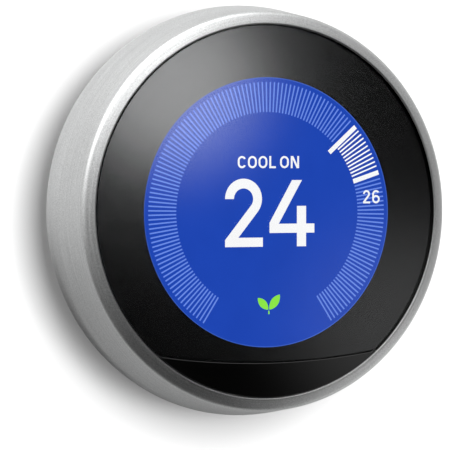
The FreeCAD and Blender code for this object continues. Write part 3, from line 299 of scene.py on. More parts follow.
FINISHES = {
    "satin_steel": brushed_stainless(),
    "front_glass": float_glass(),
    "dark_window": smoked_acrylic(),
    "black_film": black_ink(),
    "display_face": lit("lit_blue_display", "#1D43AE", "#2149B8", 1.06),
    "green_board": solder_mask(),
    "printed_band": encoder_film(),
    "black_plastic": moulded("black_polycarbonate", "#18181A", "#1E1E20", 0.55, 0.35, 0.02, 1.58),
    "white_plastic": moulded("white_polycarbonate", "#D3D3D1", "#E1E1DF", 0.5, 0.35, 0.015, 1.58),
    "connector_plastic": moulded("black_nylon", "#242426", "#2C2C2E", 0.42, 0.5, 0.01, 1.53),
    "tab_plastic": moulded("grey_abs", "#B4B5B7", "#C8C9CB", 0.45, 0.35, 0.01, 1.54),
    "acetal": moulded("white_acetal", "#DCDBD6", "#ECEBE6", 0.35, 0.6, 0.004, 1.48),
    "chip_plastic": moulded("black_epoxy", "#161617", "#1E1E1F", 0.5, 0.2, 0.01, 1.55),
    "battery_wrap": moulded("grey_shrink_film", "#51565D", "#646A72", 0.3, 2.5, 0.03, 1.57),
    "white_diffuser": moulded("white_diffuser_sheet", "#E8E8E8", "#F3F3F3", 0.7, 0.3, 0.004, 1.5),
    "amber_film": moulded("amber_polyimide", "#9C5A15", "#B87122", 0.35, 0.8, 0.004, 1.7),
    "spring_steel": sheet_metal("spring_steel", "#A3A5A8", "#C8CACC", 0.28, 0.6, (1, 6, 1)),
    "screw_steel": sheet_metal("zinc_plated_steel", "#AFB2B8", "#D6D8DC", 0.3, 0.5, (1, 1, 1)),
    "gold_contacts": sheet_metal("gold_plated_bronze", "#D39C3C", "#F2CC70", 0.22, 0.5, (1, 1, 4)),
    "tinned_can": sheet_metal("tinned_steel", "#BABCBE", "#D8D9DA", 0.32, 1.6, (1, 1, 5)),
    "lens_plastic": clear_body("milky_polyethylene", "#CDCED2", "#DFE0E3", 1.52, 0.25, 0.3),
    "vial_glass": clear_body("clear_acrylic", "#EAF4EA", "#F8FCF8", 1.49, 1.0, 0.02),
    "green_liquid": clear_body("green_spirit", "#6DBB18", "#8ADF2A", 1.36, 0.7, 0.02),
}

slots = {row["node"]: row["material_slot"] for row in frame["record"]["subparts"]}
for name, thing in frame["nodes"].items():
    thing.data.materials.clear()
    thing.data.materials.append(FINISHES[slots[name]])

LIT_TICK = lit("lit_pale_blue", "#6686E2", "#7092EC", 1.06)
LIT_WHITE = lit("lit_white", "#F8F8F8", "#FFFFFF", 1.06)
LIT_GREEN = lit("lit_green", "#88E23E", "#94F04E", 1.06)
LIT_EDGE = lit("lit_edge_blue", "#3A62CC", "#4A70D6", 1.0)

# ---- making pieces --------------------------------------------------------

# Points closer than this are one point, and edges sharper than this stay sharp.
MERGE_DISTANCE = 0.002 * MM
SHARP_ANGLE = math.radians(28)


def link(name, data):
    """A new object in the scene."""
    thing = bpy.data.objects.new(name, data)
    bpy.context.scene.collection.objects.link(thing)
    return thing


def finish_piece(name, shape, material, body, replaced=()):
    """Turn a bmesh into a closed piece that rides on a body. Only its four-sided faces are shaded
    smoothly, so that flat plates stay flat."""
    bmesh.ops.remove_doubles(shape, verts=shape.verts, dist=MERGE_DISTANCE)
    bmesh.ops.recalc_face_normals(shape, faces=shape.faces)
    for face in shape.faces:
        face.smooth = len(face.verts) == 4
    for edge in shape.edges:
        edge.smooth = edge.calc_face_angle(0.0) < SHARP_ANGLE
    mesh = bpy.data.meshes.new(name)
    shape.to_mesh(mesh)
    shape.free()
    mesh.materials.clear()
    mesh.materials.append(material)
    thing = link(name, mesh)
    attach(thing, body)
    if replaced:
        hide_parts(*replaced)
    return thing


def evaluated_shape(source):
    """The bmesh of an object after its modifiers, or of a filled curve. The object is removed."""
    bpy.context.view_layer.update()
    graph = bpy.context.evaluated_depsgraph_get()
    mesh = bpy.data.meshes.new_from_object(source.evaluated_get(graph))
    bpy.data.objects.remove(source)
    shape = bmesh.new()
    shape.from_mesh(mesh)
    bpy.data.meshes.remove(mesh)
    return shape


def grown_shape(name, tree, values):
    """The bmesh that a Geometry Nodes tree makes from its named inputs."""
    host = link(name, bpy.data.meshes.new(name))
    modifier = host.modifiers.new(name, "NODES")
    modifier.node_group = tree
    for item in tree.interface.items_tree:
        if item.in_out == "INPUT":
            modifier[item.identifier] = values[item.name]
    return evaluated_shape(host)


def new_geometry_tree(name, numbers, counts):
    """An empty Geometry Nodes tree with inputs for lengths or angles, counts and a material."""
    tree = bpy.data.node_groups.new(name, "GeometryNodeTree")
    for kind, names in (("Float", numbers), ("Int", counts), ("Material", ["Material"])):
        for title in names:
            tree.interface.new_socket(title, in_out="INPUT", socket_type="NodeSocket" + kind)
    tree.interface.new_socket("Geometry", in_out="OUTPUT", socket_type="NodeSocketGeometry")
    return tree, add(tree, "NodeGroupInput").outputs


# ---- turned ring ----------------------------------------------------------

LIP_RADIUS = LENS_RADIUS + 0.07
LIP_DEPTH = 2.6
RING_BORE = RING_RADIUS - 3.1
RING_TURN_PARTS = 288
RING_ARC_POINTS = 10
# Each corner of the ring's outline: its radius, its level and how far it is rounded.
RING_CORNERS = {
    "Lip": (LIP_RADIUS, FRONT, 0.35),
    "Shoulder": (RING_RADIUS - 1.74, FRONT - 1.08, 1.4),
    "Side": (RING_RADIUS + 0.18, RING_REAR + 3.6, 14.0),
    "Rear Edge": (RING_RADIUS - 1.0, RING_REAR - 1.6, 2.2),
    "Rear Bore": (RING_BORE, RING_REAR - 1.6, 0.0),
    "Step": (RING_BORE, FRONT - LIP_DEPTH, 0.0),
    "Lip Back": (LIP_RADIUS, FRONT - LIP_DEPTH, 0.0),
}
CORNER_PARTS = ("Radius", "Level", "Round")


def turned_tree(corners):
    """Geometry Nodes: an outline of named corners, each rounded, turned about the dial's axis."""
    names = [f"{corner} {part}" for corner in corners for part in CORNER_PARTS]
    tree, given = new_geometry_tree("turned_outline", names, ("Segments", "Arc Points"))
    index = add(tree, "GeometryNodeInputIndex")
    column = {}
    for part in CORNER_PARTS:
        column[part] = add(tree, "GeometryNodeIndexSwitch", data_type="FLOAT")
        while len(column[part].index_switch_items) < len(corners):
            column[part].index_switch_items.new()
        wire(column[part], {"Index": index})
        wire(column[part], {str(i): given[f"{corner} {part}"] for i, corner in enumerate(corners)})
    # The outline is carried round by a circle of 1 mm radius.
    outward = add(tree, "ShaderNodeMath", {0: column["Radius"], 1: MM}, operation="SUBTRACT")
    spot = add(tree, "ShaderNodeCombineXYZ", {"X": outward, "Y": column["Level"]})
    row = add(tree, "GeometryNodeMeshLine", {"Count": len(corners)})
    outline = add(tree, "GeometryNodeSetPosition", {"Geometry": row, "Position": spot})
    curve = add(tree, "GeometryNodeMeshToCurve", {"Mesh": outline})
    closed = add(tree, "GeometryNodeSetSplineCyclic", {"Geometry": curve, "Cyclic": True})
    rounded = add(tree, "GeometryNodeFilletCurve", {
        "Curve": closed, "Count": given["Arc Points"], "Radius": column["Round"],
        "Limit Radius": False}, mode="POLY")
    circle = add(tree, "GeometryNodeCurvePrimitiveCircle",
                 {"Resolution": given["Segments"], "Radius": MM})
    level = add(tree, "GeometryNodeSetCurveNormal", {"Curve": circle}, mode="Z_UP")
    turned = add(tree, "GeometryNodeCurveToMesh", {"Curve": level, "Profile Curve": rounded})
    upright = add(tree, "GeometryNodeTransform",
                  {"Geometry": turned, "Rotation": (-math.pi / 2, 0.0, 0.0)})
    real = add(tree, "GeometryNodeRealizeInstances", {"Geometry": upright})
    dressed = add(tree, "GeometryNodeSetMaterial", {"Geometry": real, "Material": given["Material"]})
    add(tree, "NodeGroupOutput", {"Geometry": dressed})
    return tree


ring_values = {f"{corner} {part}": size * MM for corner, sizes in RING_CORNERS.items()
               for part, size in zip(CORNER_PARTS, sizes)}
ring_values.update({"Segments": RING_TURN_PARTS, "Arc Points": RING_ARC_POINTS,
                    "Material": FINISHES["satin_steel"]})
finish_piece("ring_shell", grown_shape("ring_shell", turned_tree(RING_CORNERS), ring_values),
             FINISHES["satin_steel"], "ring", ["outer_ring"])

# ---- glass and sensor window ----------------------------------------------

EDGE_ROUND = 0.1
SEAM_RADIUS = 159.5
SEAM_GAP = 0.12
SEAM_CENTRE = SEAM_RADIUS - SEAM_GAP / 2 + LENS_LOW.z


def arc_points(centre, radius, start, end, count):
    """Points (x, z) on an arc, its ends included, with angles from +X towards +Z."""
    angles = [start + (end - start) * i / (count - 1) for i in range(count)]
    return [(centre[0] + radius * math.cos(a), centre[1] + radius * math.sin(a))
            for a in angles]


def disc_cut_by_seam(disc, seam, above, count=180):
    """Outline of the part of a disc above or below the seam's arc."""
    height = (disc ** 2 - seam ** 2 + SEAM_CENTRE ** 2) / (2 * SEAM_CENTRE)
    half = math.sqrt(disc ** 2 - height ** 2)
    side = math.atan2(height, half)
    seam_side = math.atan2(height - SEAM_CENTRE, half)
    edge_end = math.pi - side if above else -math.pi - side
    edge = arc_points((0, 0), disc, side, edge_end, count)
    back = arc_points((0, SEAM_CENTRE), seam, -math.pi - seam_side, seam_side, count // 2)
    return edge + back[1:-1]


def plate_with_round_edge(rear, above):
    """A flat plate trimmed at the seam, its front edge rounded."""
    sign = -1 if above else 1
    steps = 5
    turns = [math.pi / 2 * step / steps for step in range(steps + 1)]
    front_edge = [(FRONT - EDGE_ROUND * (1 - math.sin(a)), EDGE_ROUND * (1 - math.cos(a)))
                  for a in turns]
    shape = bmesh.new()
    rows = []
    for level, inset in [(rear, 0.0)] + front_edge:
        outline = disc_cut_by_seam(LENS_RADIUS - inset,
                                   SEAM_RADIUS + sign * (SEAM_GAP / 2 + inset), above)
        rows.append([shape.verts.new(Vector((x, -level, z)) * MM) for x, z in outline])
    for row, following in zip(rows, rows[1:]):
        for i in range(len(row)):
            j = (i + 1) % len(row)
            shape.faces.new((row[i], row[j], following[j], following[i]))
    shape.faces.new(rows[0])
    shape.faces.new(reversed(rows[-1]))
    return shape


finish_piece("glass_disc", plate_with_round_edge(LENS_REAR, True),
             FINISHES["front_glass"], "head", ["front_lens"])
finish_piece("window_strip", plate_with_round_edge(WINDOW_REAR, False),
             FINISHES["dark_window"], "head", ["sensor_window"])

# ---- flat shapes behind the glass -----------------------------------------

CLEAR_RADIUS = LENS_RADIUS - 10.28
CLEAR_CENTRE = DISPLAY_CENTRE + 0.15
MASK_RADIUS = LENS_RADIUS - 0.03
MASK_BACK, MASK_FRONT = PANEL_FRONT + 0.03, PANEL_FRONT + 0.11
PRINT_BACK, PRINT_FRONT = PANEL_FRONT + 0.01, PANEL_FRONT + 0.04
RIM_PAINT_INSET = 0.02
RIM_PAINT_THICKNESS = 0.05
RIM_PAINT_RADIUS = LENS_RADIUS - RIM_PAINT_INSET
RIM_PAINT_SEAM = SEAM_RADIUS - SEAM_GAP
EDGE_LIGHT_OUTWARD, EDGE_LIGHT_INWARD, EDGE_LIGHT_THICKNESS = 0.1, 0.15, 0.01


def flat_piece(name, loops, back, front, material, replaced=()):
    """A thin closed plate from outlines (x, z); a loop inside another is a hole."""
    curve = bpy.data.curves.new(name, "CURVE")
    curve.dimensions = "2D"
    curve.fill_mode = "BOTH"
    curve.extrude = (front - back) / 2 * MM
    for loop in loops:
        spline = curve.splines.new("POLY")
        spline.points.add(len(loop) - 1)
        for point, (x, z) in zip(spline.points, loop):
            point.co = (x * MM, z * MM, 0.0, 1.0)
        spline.use_cyclic_u = True
    shape = evaluated_shape(link(name, curve))
    upright = Matrix.Rotation(math.pi / 2, 4, "X")
    upright.translation = Vector((0, -(front + back) / 2 * MM, 0))
    shape.transform(upright)
    return finish_piece(name, shape, material, "head", replaced)


def circle_points(centre_z, radius, count=240):
    """Points (x, z) on a whole circle."""
    return arc_points((0, centre_z), radius, 0.0, 2 * math.pi * (1 - 1 / count), count)


flat_piece("ink_mask", [disc_cut_by_seam(MASK_RADIUS, SEAM_RADIUS - 2 * SEAM_GAP, True),
                        circle_points(CLEAR_CENTRE, CLEAR_RADIUS)],
           MASK_BACK, MASK_FRONT, FINISHES["black_film"], ["lens_mask"])
rim_paint = [disc_cut_by_seam(RIM_PAINT_RADIUS - inset, RIM_PAINT_SEAM - inset, True)
             for inset in (0.0, RIM_PAINT_THICKNESS)]
flat_piece("glass_rim_paint", rim_paint, LENS_REAR, FRONT - EDGE_ROUND - RIM_PAINT_INSET,
           edge_paint())
flat_piece("display_edge_light", [circle_points(CLEAR_CENTRE, CLEAR_RADIUS + EDGE_LIGHT_OUTWARD),
                                  circle_points(CLEAR_CENTRE, CLEAR_RADIUS - EDGE_LIGHT_INWARD)],
           PRINT_BACK, PRINT_BACK + EDGE_LIGHT_THICKNESS, LIT_EDGE)

# ---- scale of ticks -------------------------------------------------------


def tick_tree():
    """Geometry Nodes: a row of bars round a centre, at angles clockwise from the bottom."""
    tree, given = new_geometry_tree(
        "ticks_round_a_centre",
        ("Start Angle", "Pitch Angle", "Inner Radius", "Length", "Width", "Thickness", "Level",
         "Centre X", "Centre Z"), ("Count",))
    index = add(tree, "GeometryNodeInputIndex")
    angle = add(tree, "ShaderNodeMath", {
        0: index, 1: given["Pitch Angle"], 2: given["Start Angle"]}, operation="MULTIPLY_ADD")
    middle = add(tree, "ShaderNodeMath", {
        0: given["Length"], 1: 0.5, 2: given["Inner Radius"]}, operation="MULTIPLY_ADD")
    inward = add(tree, "ShaderNodeMath", {0: middle, 1: -1.0}, operation="MULTIPLY")
    sine = add(tree, "ShaderNodeMath", {0: angle}, operation="SINE")
    cosine = add(tree, "ShaderNodeMath", {0: angle}, operation="COSINE")
    spot = add(tree, "ShaderNodeCombineXYZ", {
        "X": add(tree, "ShaderNodeMath", {0: sine, 1: inward, 2: given["Centre X"]},
                 operation="MULTIPLY_ADD"),
        "Y": add(tree, "ShaderNodeMath", {0: given["Level"], 1: -1.0}, operation="MULTIPLY"),
        "Z": add(tree, "ShaderNodeMath", {0: cosine, 1: inward, 2: given["Centre Z"]},
                 operation="MULTIPLY_ADD")})
    half_turned = add(tree, "ShaderNodeMath", {0: angle, 1: math.pi}, operation="ADD")
    points = add(tree, "GeometryNodePoints", {"Count": given["Count"], "Position": spot})
    size = add(tree, "ShaderNodeCombineXYZ",
               {"X": given["Width"], "Y": given["Thickness"], "Z": given["Length"]})
    bar = add(tree, "GeometryNodeMeshCube", {"Size": size})
    bars = add(tree, "GeometryNodeInstanceOnPoints", {
        "Points": points, "Instance": bar,
        "Rotation": add(tree, "ShaderNodeCombineXYZ", {"Y": half_turned})})
    real = add(tree, "GeometryNodeRealizeInstances", {"Geometry": bars})
    dressed = add(tree, "GeometryNodeSetMaterial", {"Geometry": real, "Material": given["Material"]})
    add(tree, "NodeGroupOutput", {"Geometry": dressed})
    return tree


TICKS = tick_tree()
TICK_CENTRE = (0.03, CLEAR_CENTRE)
TICK_PITCH = 2.0
TICK_INNER = 20.2
TICK_LENGTH = 6.05
TICK_WIDTH = 0.3
TICK_THICKNESS = 0.015
BOLD_WIDTH = 0.95
BOLD_EXTRA = 1.9
FIRST_TICK = 33.1
LAST_TICK = 327.1
SET_ANGLE = 228.7
ROOM_ANGLE = 252.15
FIRST_BETWEEN = SET_ANGLE + 2.4
COUNT_BELOW, COUNT_BETWEEN, COUNT_ABOVE = 97, 10, 37


def ticks(name, start, count, material, width=TICK_WIDTH, extra=0.0):
    """A row of bars on the display; the angle is that of the first one, in degrees."""
    values = {
        "Count": count, "Start Angle": math.radians(start), "Pitch Angle": math.radians(TICK_PITCH),
        "Inner Radius": (TICK_INNER - extra) * MM, "Length": (TICK_LENGTH + extra) * MM,
        "Width": width * MM, "Thickness": TICK_THICKNESS * MM,
        "Level": (PRINT_BACK + TICK_THICKNESS / 2) * MM,
        "Centre X": TICK_CENTRE[0] * MM, "Centre Z": TICK_CENTRE[1] * MM, "Material": material,
    }
    return finish_piece(name, grown_shape(name, TICKS, values), material, "head")


ticks("ticks_below_set", FIRST_TICK, COUNT_BELOW, LIT_TICK)
ticks("ticks_above_room", LAST_TICK - (COUNT_ABOVE - 1) * TICK_PITCH, COUNT_ABOVE, LIT_TICK)
ticks("ticks_between", FIRST_BETWEEN, COUNT_BETWEEN, LIT_WHITE)
ticks("set_mark", SET_ANGLE, 1, LIT_WHITE, BOLD_WIDTH, BOLD_EXTRA)
ticks("room_mark", ROOM_ANGLE, 1, LIT_WHITE, BOLD_WIDTH)

# ---- numbers, word and sign on the display --------------------------------


def digit_two(width, foot, height, stroke, bar, lean):
    """Outline of a 2: a round bowl, a straight slant and a flat foot."""
    radius = width / 2
    centre = (radius, height - radius)
    end = lean - math.pi / 2
    outer = arc_points(centre, radius, end, math.pi, 40)
    inner = arc_points(centre, radius - stroke, math.pi, end, 40)
    corner = outer[0][0] - (outer[0][1] - bar) / math.tan(lean)
    heel = inner[-1][1] - inner[-1][0] * math.tan(lean)
    return [[(0, 0), (foot, 0), (foot, bar), (corner, bar)] + outer + inner + [(0, heel)]]


def digit_four(width, height, stroke, bar):
    """Outline of an open 4: a slanted stroke, a crossbar and a short stem."""
    low = height * 0.205
    high = low + bar
    stem = width * 0.61
    right = stem + stroke
    top = height * 0.61
    slant = width * 0.5
    return [[
        (0, low), (stem, low), (stem, 0), (right, 0), (right, low), (width, low), (width, high),
        (right, high), (right, top), (stem, top), (stem, high), (stroke, high),
        (slant + stroke * 1.08, height), (slant, height), (0, high + stroke * 0.1),
    ]]


def digit_six(width, height, stroke):
    """Outline of a 6: a tail that bends over the top, and a round bowl with its hole."""
    radius = width / 2
    bowl = (radius, radius)
    crown = (radius, height - radius)
    tip = math.radians(35)
    meet = math.acos((stroke - radius) / radius)
    outline = arc_points(crown, radius, tip, math.pi, 24)
    outline += arc_points(bowl, radius, math.pi, 2 * math.pi + meet, 48)
    outline += arc_points(crown, radius - stroke, math.pi, tip, 24)
    return [outline, arc_points(bowl, radius - stroke, 0, 2 * math.pi * 31 / 32, 32)]


def letter_o(width, height, stroke):
    """Outline of an O: two half rounds with straight sides, and its hole."""
    loops = []
    for inset in (0.0, stroke):
        radius = width / 2 - inset
        top = arc_points((width / 2, height - width / 2), radius, 0, math.pi, 20)
        foot = arc_points((width / 2, width / 2), radius, math.pi, 2 * math.pi, 20)
        loops.append(top + foot)
    return loops


def letter_c(width, height, stroke):
    """Outline of a C: an O that is open on the right."""
    radius = width / 2
    tip = math.radians(28)
    top, foot = (radius, height - radius), (radius, radius)
    outer = arc_points(top, radius, tip, math.pi, 20)
    outer += arc_points(foot, radius, math.pi, 2 * math.pi - tip, 20)
    inner = arc_points(foot, radius - stroke, 2 * math.pi - tip, math.pi, 20)
    inner += arc_points(top, radius - stroke, math.pi, tip, 20)
    return [outer + inner]


def letter_l(width, height, stroke):
    """Outline of an L."""
    return [[(0, 0), (width, 0), (width, stroke), (stroke, stroke), (stroke, height),
             (0, height)]]


def letter_n(width, height, stroke):
    """Outline of an N: two stems and the slanted stroke between them."""
    slope = height / (width - stroke)
    wide = stroke * 0.35
    meet = (stroke * 0.6 + wide) * slope
    return [[
        (0, 0), (stroke, 0), (stroke, height - meet), (width - stroke - wide, 0), (width, 0),
        (width, height), (width - stroke, height), (width - stroke, meet),
        (stroke + wide, height), (0, height),
    ]]


def placed(loops, x, z):
    """The outlines moved to a place."""
    return [[(a + x, b + z) for a, b in loop] for loop in loops]


TWO_LEAN = math.radians(50.3)
SET_FOOT = -7.1
SET_TWO_LEFT, SET_FOUR_LEFT = -9.5, 0.35
set_number = placed(digit_two(8.15, 8.35, 13.7, 1.95, 1.85, TWO_LEAN), SET_TWO_LEFT, SET_FOOT)
set_number += placed(digit_four(10.05, 13.4, 2.05, 1.85), SET_FOUR_LEFT, SET_FOOT)
flat_piece("set_temperature", set_number, PRINT_BACK, PRINT_FRONT, LIT_WHITE)

WORD_FOOT = 8.7
WORD_HEIGHT = 2.45
WORD_STROKE = 0.4
WORD_LEFT = -6.7
word = []
reach = WORD_LEFT
for draw, width, gap in (
    (letter_c, 1.85, 0.4), (letter_o, 1.95, 0.4), (letter_o, 1.95, 0.45),
    (letter_l, 1.45, 0.95), (letter_o, 1.95, 0.45), (letter_n, 1.85, 0.0),
):
    word += placed(draw(width, WORD_HEIGHT, WORD_STROKE), reach, WORD_FOOT)
    reach += width + gap
flat_piece("mode_word", word, PRINT_BACK, PRINT_FRONT, LIT_WHITE)

ROOM_FOOT = 1.5
ROOM_TWO_LEFT, ROOM_SIX_LEFT = 21.5, 23.6
ROOM_HEIGHT, ROOM_STROKE = 2.7, 0.38
# The room temperature lies over the ticks.
ROOM_THICKNESS = 0.02
room_number = placed(digit_two(1.55, 1.6, ROOM_HEIGHT, ROOM_STROKE, ROOM_STROKE, TWO_LEAN),
                     ROOM_TWO_LEFT, ROOM_FOOT)
room_number += placed(digit_six(1.7, ROOM_HEIGHT, ROOM_STROKE), ROOM_SIX_LEFT, ROOM_FOOT)
flat_piece("room_temperature", room_number, PRINT_FRONT, PRINT_FRONT + ROOM_THICKNESS, LIT_WHITE)


def leaf(root, tip, bulge):
    """Outline of a pointed leaf between two points, the same on both sides."""
    start, end = Vector(root), Vector(tip)
    chord = end - start
    side = Vector((-chord.y, chord.x)).normalized() * bulge
    steps = 14
    shares = [step / steps for step in range(steps)]
    one_side = [start + chord * s + side * math.sin(math.pi * s) ** 0.8 for s in shares]
    other_side = [end - chord * s - side * math.sin(math.pi * s) ** 0.8 for s in shares]
    return [tuple(point) for point in one_side + other_side]


SPROUT_ROOT = (0.2, -20.7)
sprout = [leaf((-0.12, 0.9), (-2.45, 3.3), 0.78), leaf((0.12, 0.9), (2.45, 3.9), 0.86),
          [(-0.16, 0.0), (0.16, 0.0), (0.12, 0.7), (-0.12, 0.7)]]
flat_piece("saving_sign", placed(sprout, *SPROUT_ROOT), PRINT_BACK, PRINT_FRONT, LIT_GREEN)

# ---- camera ---------------------------------------------------------------

CAMERA_AZIMUTH = -25.5
CAMERA_ELEVATION = 0.92
CAMERA_DISTANCE = 0.614
SENSOR_WIDTH = 36.0
FOCAL_LENGTH = 244.3
# The camera looks a little past the dial's centre.
AIM_AZIMUTH = CAMERA_AZIMUTH + 0.842
AIM_ELEVATION = CAMERA_ELEVATION + 0.254
DIAL = Vector((0.0, -FRONT * MM, 0.0))


def direction(azimuth, elevation):
    """Unit vector away from the object: azimuth from -Y towards +X, elevation upwards."""
    a = math.radians(azimuth)
    e = math.radians(elevation)
    return Vector((math.sin(a) * math.cos(e), -math.cos(a) * math.cos(e), math.sin(e)))


camera = link("camera", bpy.data.cameras.new("camera"))
camera.data.sensor_width = SENSOR_WIDTH
camera.data.lens = FOCAL_LENGTH
camera.data.clip_start = 0.05
camera.data.clip_end = 20.0
camera.location = DIAL + direction(CAMERA_AZIMUTH, CAMERA_ELEVATION) * CAMERA_DISTANCE
camera.rotation_euler = (math.radians(90 - AIM_ELEVATION), 0.0, math.radians(AIM_AZIMUTH))
bpy.context.scene.camera = camera
bpy.context.scene.view_settings.view_transform = "Standard"

# ---- wall and floor -------------------------------------------------------

WALL_SIZE, FLOOR_SIZE = 8.0, 16.0
WALL_GAP = 0.0006
FLOOR_HEIGHT = -0.75
# Painted shade on the wall, seen only in what metal mirrors: how bright the wall is painted on the
# left and on the right, and the share of that which is left low down on the left.
PAINTED_SHADE_LEFT, PAINTED_SHADE_RIGHT, PAINTED_SHADE_LOW = 0.58, 0.64, 0.7
# Where these change, in millimetres from the dial's axis.
LEFT_END, RIGHT_END = -10, 50
LOW_START, LOW_END = 30, 52
# The painted shadow on the wall under the ring, seen only in gloss: how far out it reaches, and how far
# down it starts.
PAINTED_SHADOW_FULL, PAINTED_SHADOW_OUTER = 46, 66
PAINTED_SHADOW_START, PAINTED_SHADOW_END = 8, 40
DOWN_LEFT = (-0.35, 0.0, -0.94)


def stage_panel(name, width, height, centre, facing, material):
    """A flat panel of the stage, its front towards a direction."""
    x = width / 2
    y = height / 2
    mesh = bpy.data.meshes.new(name)
    mesh.from_pydata([(-x, -y, 0), (x, -y, 0), (x, y, 0), (-x, y, 0)], [], [(0, 1, 2, 3)])
    mesh.transform(Matrix.Translation(centre) @ facing.to_track_quat("Z", "Y").to_matrix().to_4x4())
    mesh.materials.append(material)
    panel = link(name, mesh)
    return panel


def wall_paint_with_painted_shade():
    """White wall paint. From behind it isn't seen, and light passes it, so that the back of the
    object is open and lit in the views from behind. What gloss mirrors of it carries painted shade:
    dimmer on the left and lower left, with a painted shadow close under the ring."""
    material, tree, shader, place = new_material("wall_paint_with_painted_shade", {
        "Roughness": 0.9, "Specular IOR Level": 0.0})
    roller = add(tree, "ShaderNodeTexNoise", {"Vector": place, "Scale": per(40.0), "Detail": 3.0})
    paint = add(tree, "ShaderNodeMix", {
        "Factor": roller, "A": linear("#F6F6F6"), "B": linear("#FAFAFA")}, data_type="RGBA")
    # Painted shade, seen only by glossy rays: metal mirrors a wall painted dimmer on the left, more so
    # at the lower left, and with a painted shadow close under the ring there.
    part = add(tree, "ShaderNodeSeparateXYZ", {"Vector": place})
    right = add(tree, "ShaderNodeMapRange", {
        "Value": part.outputs["X"], "From Min": LEFT_END * MM, "From Max": RIGHT_END * MM,
        "To Min": PAINTED_SHADE_LEFT, "To Max": PAINTED_SHADE_RIGHT}, interpolation_type="SMOOTHSTEP")
    lower = add(tree, "ShaderNodeVectorMath", {0: place, 1: DOWN_LEFT},
                operation="DOT_PRODUCT").outputs["Value"]
    above = add(tree, "ShaderNodeMapRange", {
        "Value": lower, "From Min": LOW_START * MM, "From Max": LOW_END * MM, "To Min": 1.0,
        "To Max": PAINTED_SHADE_LOW}, interpolation_type="SMOOTHSTEP")
    radius = add(tree, "ShaderNodeVectorMath", {0: place}, operation="LENGTH").outputs["Value"]
    near = add(tree, "ShaderNodeMapRange", {
        "Value": radius, "From Min": PAINTED_SHADOW_FULL * MM, "From Max": PAINTED_SHADOW_OUTER * MM, "To Min": 1.0,
        "To Max": 0.0}, interpolation_type="SMOOTHSTEP")
    below = add(tree, "ShaderNodeMapRange", {
        "Value": lower, "From Min": PAINTED_SHADOW_START * MM, "From Max": PAINTED_SHADOW_END * MM},
        interpolation_type="SMOOTHSTEP")
    under = add(tree, "ShaderNodeMath", {0: near, 1: below}, operation="MULTIPLY")
    outside_painted_shadow = add(tree, "ShaderNodeMath", {0: 1.0, 1: under}, operation="SUBTRACT")
    sides = add(tree, "ShaderNodeMath", {0: right, 1: above}, operation="MULTIPLY")
    level = add(tree, "ShaderNodeMath", {0: sides, 1: outside_painted_shadow}, operation="MULTIPLY")
    painted_shade_tone = add(tree, "ShaderNodeVectorMath", {0: paint, "Scale": level}, operation="SCALE")
    # The camera sees the plain paint; glossy rays see it with the painted shade and painted shadow.
    path = add(tree, "ShaderNodeLightPath")
    wire(shader, {"Base Color": add(tree, "ShaderNodeMix", {
        "Factor": path.outputs["Is Glossy Ray"], "A": paint, "B": painted_shade_tone}, data_type="RGBA")})
    seen = add(tree, "ShaderNodeMath", {
        0: path.outputs["Is Camera Ray"], 1: path.outputs["Is Glossy Ray"]}, operation="MAXIMUM")
    back = add(tree, "ShaderNodeNewGeometry").outputs["Backfacing"]
    shown = add(tree, "ShaderNodeMath", {0: seen, 1: back}, operation="SUBTRACT", use_clamp=True)
    clear = add(tree, "ShaderNodeBsdfTransparent")
    wire(tree.nodes["Material Output"], {"Surface": add(tree, "ShaderNodeMixShader", {
        "Fac": shown, 1: clear, 2: shader.outputs["BSDF"]})})
    return material


def floor_paint():
    """Pale floor paint, with faint clouds."""
    material, tree, shader, place = new_material("floor_paint", {"Roughness": 0.9})
    clouds = add(tree, "ShaderNodeTexNoise", {"Vector": place, "Scale": per(300.0)})
    wire(shader, {"Base Color": add(tree, "ShaderNodeMix", {
        "Factor": clouds, "A": linear("#E9E8E6"), "B": linear("#EFEEEC")}, data_type="RGBA")})
    return material


stage_panel("wall", WALL_SIZE, WALL_SIZE, Vector((0, WALL_GAP, 0)), Vector((0, -1, 0)),
            wall_paint_with_painted_shade())
floor = stage_panel("floor", FLOOR_SIZE, FLOOR_SIZE, Vector((0, 0, FLOOR_HEIGHT)),
                    Vector((0, 0, 1)), floor_paint())
# The floor is only seen. It neither lights nor shades the object.
for ray in ("diffuse", "glossy", "transmission", "shadow"):
    setattr(floor, "visible_" + ray, False)

# ---- light ----------------------------------------------------------------


def soft_box(name, azimuth, elevation, distance, size, radiance):
    """A square lamp turned to the dial, set by how bright its face is. Only matt surfaces see
    it: gloss comes from the room's lights."""
    lamp = bpy.data.lights.new(name, "AREA")
    lamp.size = size
    lamp.energy = radiance * math.pi * size ** 2
    thing = link(name, lamp)
    away = direction(azimuth, elevation)
    thing.location = DIAL + away * distance
    thing.rotation_mode = "QUATERNION"
    thing.rotation_quaternion = away.to_track_quat("Z", "Y")
    for ray in ("camera", "glossy", "transmission"):
        setattr(thing, "visible_" + ray, False)


# Soft round glows that metal mirrors: azimuth, elevation, brightness and angular radius.
GLOWS = ((-80, 65, 6.3, 46), (85, -35, 1.7, 23), (110, 8, 3.3, 23), (76, 28, 0.6, 15))
GLOW_BASE = 0.015
# Small soft lamps that the glass mirrors, given in the same way.
LAMPS = ((23.7, 1.5, 3.0, 1.6), (27.9, -3.0, 0.38, 1.9))
# How steeply the two kinds fade at their edge.
GLOW_EDGE, LAMP_EDGE = 1.0, 1.5
# A black flag keeps the room out of the glass: azimuth, elevation, full and outer radius.
FLAG = (25, -1, 9, 24)
# The even light on matt surfaces.
MATT_LIGHT = 0.5


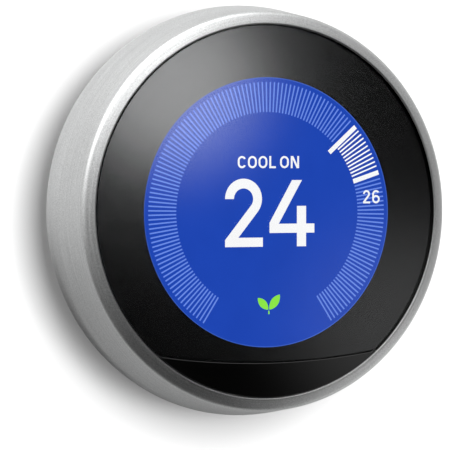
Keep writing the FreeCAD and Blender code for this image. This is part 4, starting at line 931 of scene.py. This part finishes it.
def room():
    """The room round the object. The camera sees it plain and pale, matt surfaces get an even
    light from it, and gloss mirrors the glows, the flag and the lamps."""
    world = bpy.data.worlds.new("room")
    bpy.context.scene.world = world
    world.use_nodes = True
    # Matt surfaces get an even light, so the room isn't sampled as a lamp.
    world.cycles.sampling_method = "NONE"
    tree = world.node_tree
    tree.nodes.clear()
    outward = add(tree, "ShaderNodeTexCoord").outputs["Generated"]

    def with_light(total, azimuth, elevation, brightness, radius, edge):
        """Add a round light that fades like a bell, to 1/e at its angular radius."""
        steep = 1 / (1 - math.cos(math.radians(radius)))
        toward = add(tree, "ShaderNodeVectorMath", {
            0: outward, 1: direction(azimuth, elevation)}, operation="DOT_PRODUCT")
        off = add(tree, "ShaderNodeMath", {0: toward.outputs["Value"], 1: -steep, 2: steep},
                  operation="MULTIPLY_ADD")
        shaped = add(tree, "ShaderNodeMath", {
            0: add(tree, "ShaderNodeMath", {0: off, 1: 0.0}, operation="MAXIMUM"), 1: edge},
            operation="POWER")
        fade = add(tree, "ShaderNodeMath", {0: 1 / math.e, 1: shaped}, operation="POWER")
        return add(tree, "ShaderNodeMath", {0: fade, 1: brightness, 2: total},
                   operation="MULTIPLY_ADD")

    total = GLOW_BASE
    for glow in GLOWS:
        total = with_light(total, *glow, GLOW_EDGE)
    azimuth, elevation, full, outer = FLAG
    to_flag = add(tree, "ShaderNodeVectorMath", {
        0: outward, 1: direction(azimuth, elevation)}, operation="DOT_PRODUCT")
    shade = add(tree, "ShaderNodeMapRange", {
        "Value": to_flag.outputs["Value"], "From Min": math.cos(math.radians(outer)),
        "From Max": math.cos(math.radians(full)), "To Min": 1.0, "To Max": 0.0},
        interpolation_type="SMOOTHSTEP")
    gloss = add(tree, "ShaderNodeMath", {0: total, 1: shade}, operation="MULTIPLY")
    for lamp in LAMPS:
        gloss = with_light(gloss, *lamp, LAMP_EDGE)
    path = add(tree, "ShaderNodeLightPath")
    mirrored = add(tree, "ShaderNodeMath", {
        0: path.outputs["Is Glossy Ray"], 1: path.outputs["Is Transmission Ray"]},
        operation="MAXIMUM")
    light = add(tree, "ShaderNodeMix", {"Factor": mirrored, "A": MATT_LIGHT, "B": gloss})
    lit_room = add(tree, "ShaderNodeBackground", {"Strength": light})
    plain = add(tree, "ShaderNodeBackground", {"Color": linear("#EDEDEC"), "Strength": 1.0})
    add(tree, "ShaderNodeOutputWorld", {"Surface": add(tree, "ShaderNodeMixShader", {
        "Fac": path.outputs["Is Camera Ray"], 1: lit_room, 2: plain})})


soft_box("key", azimuth=-6.0, elevation=9.0, distance=1.2, size=0.6, radiance=13.5)
room()
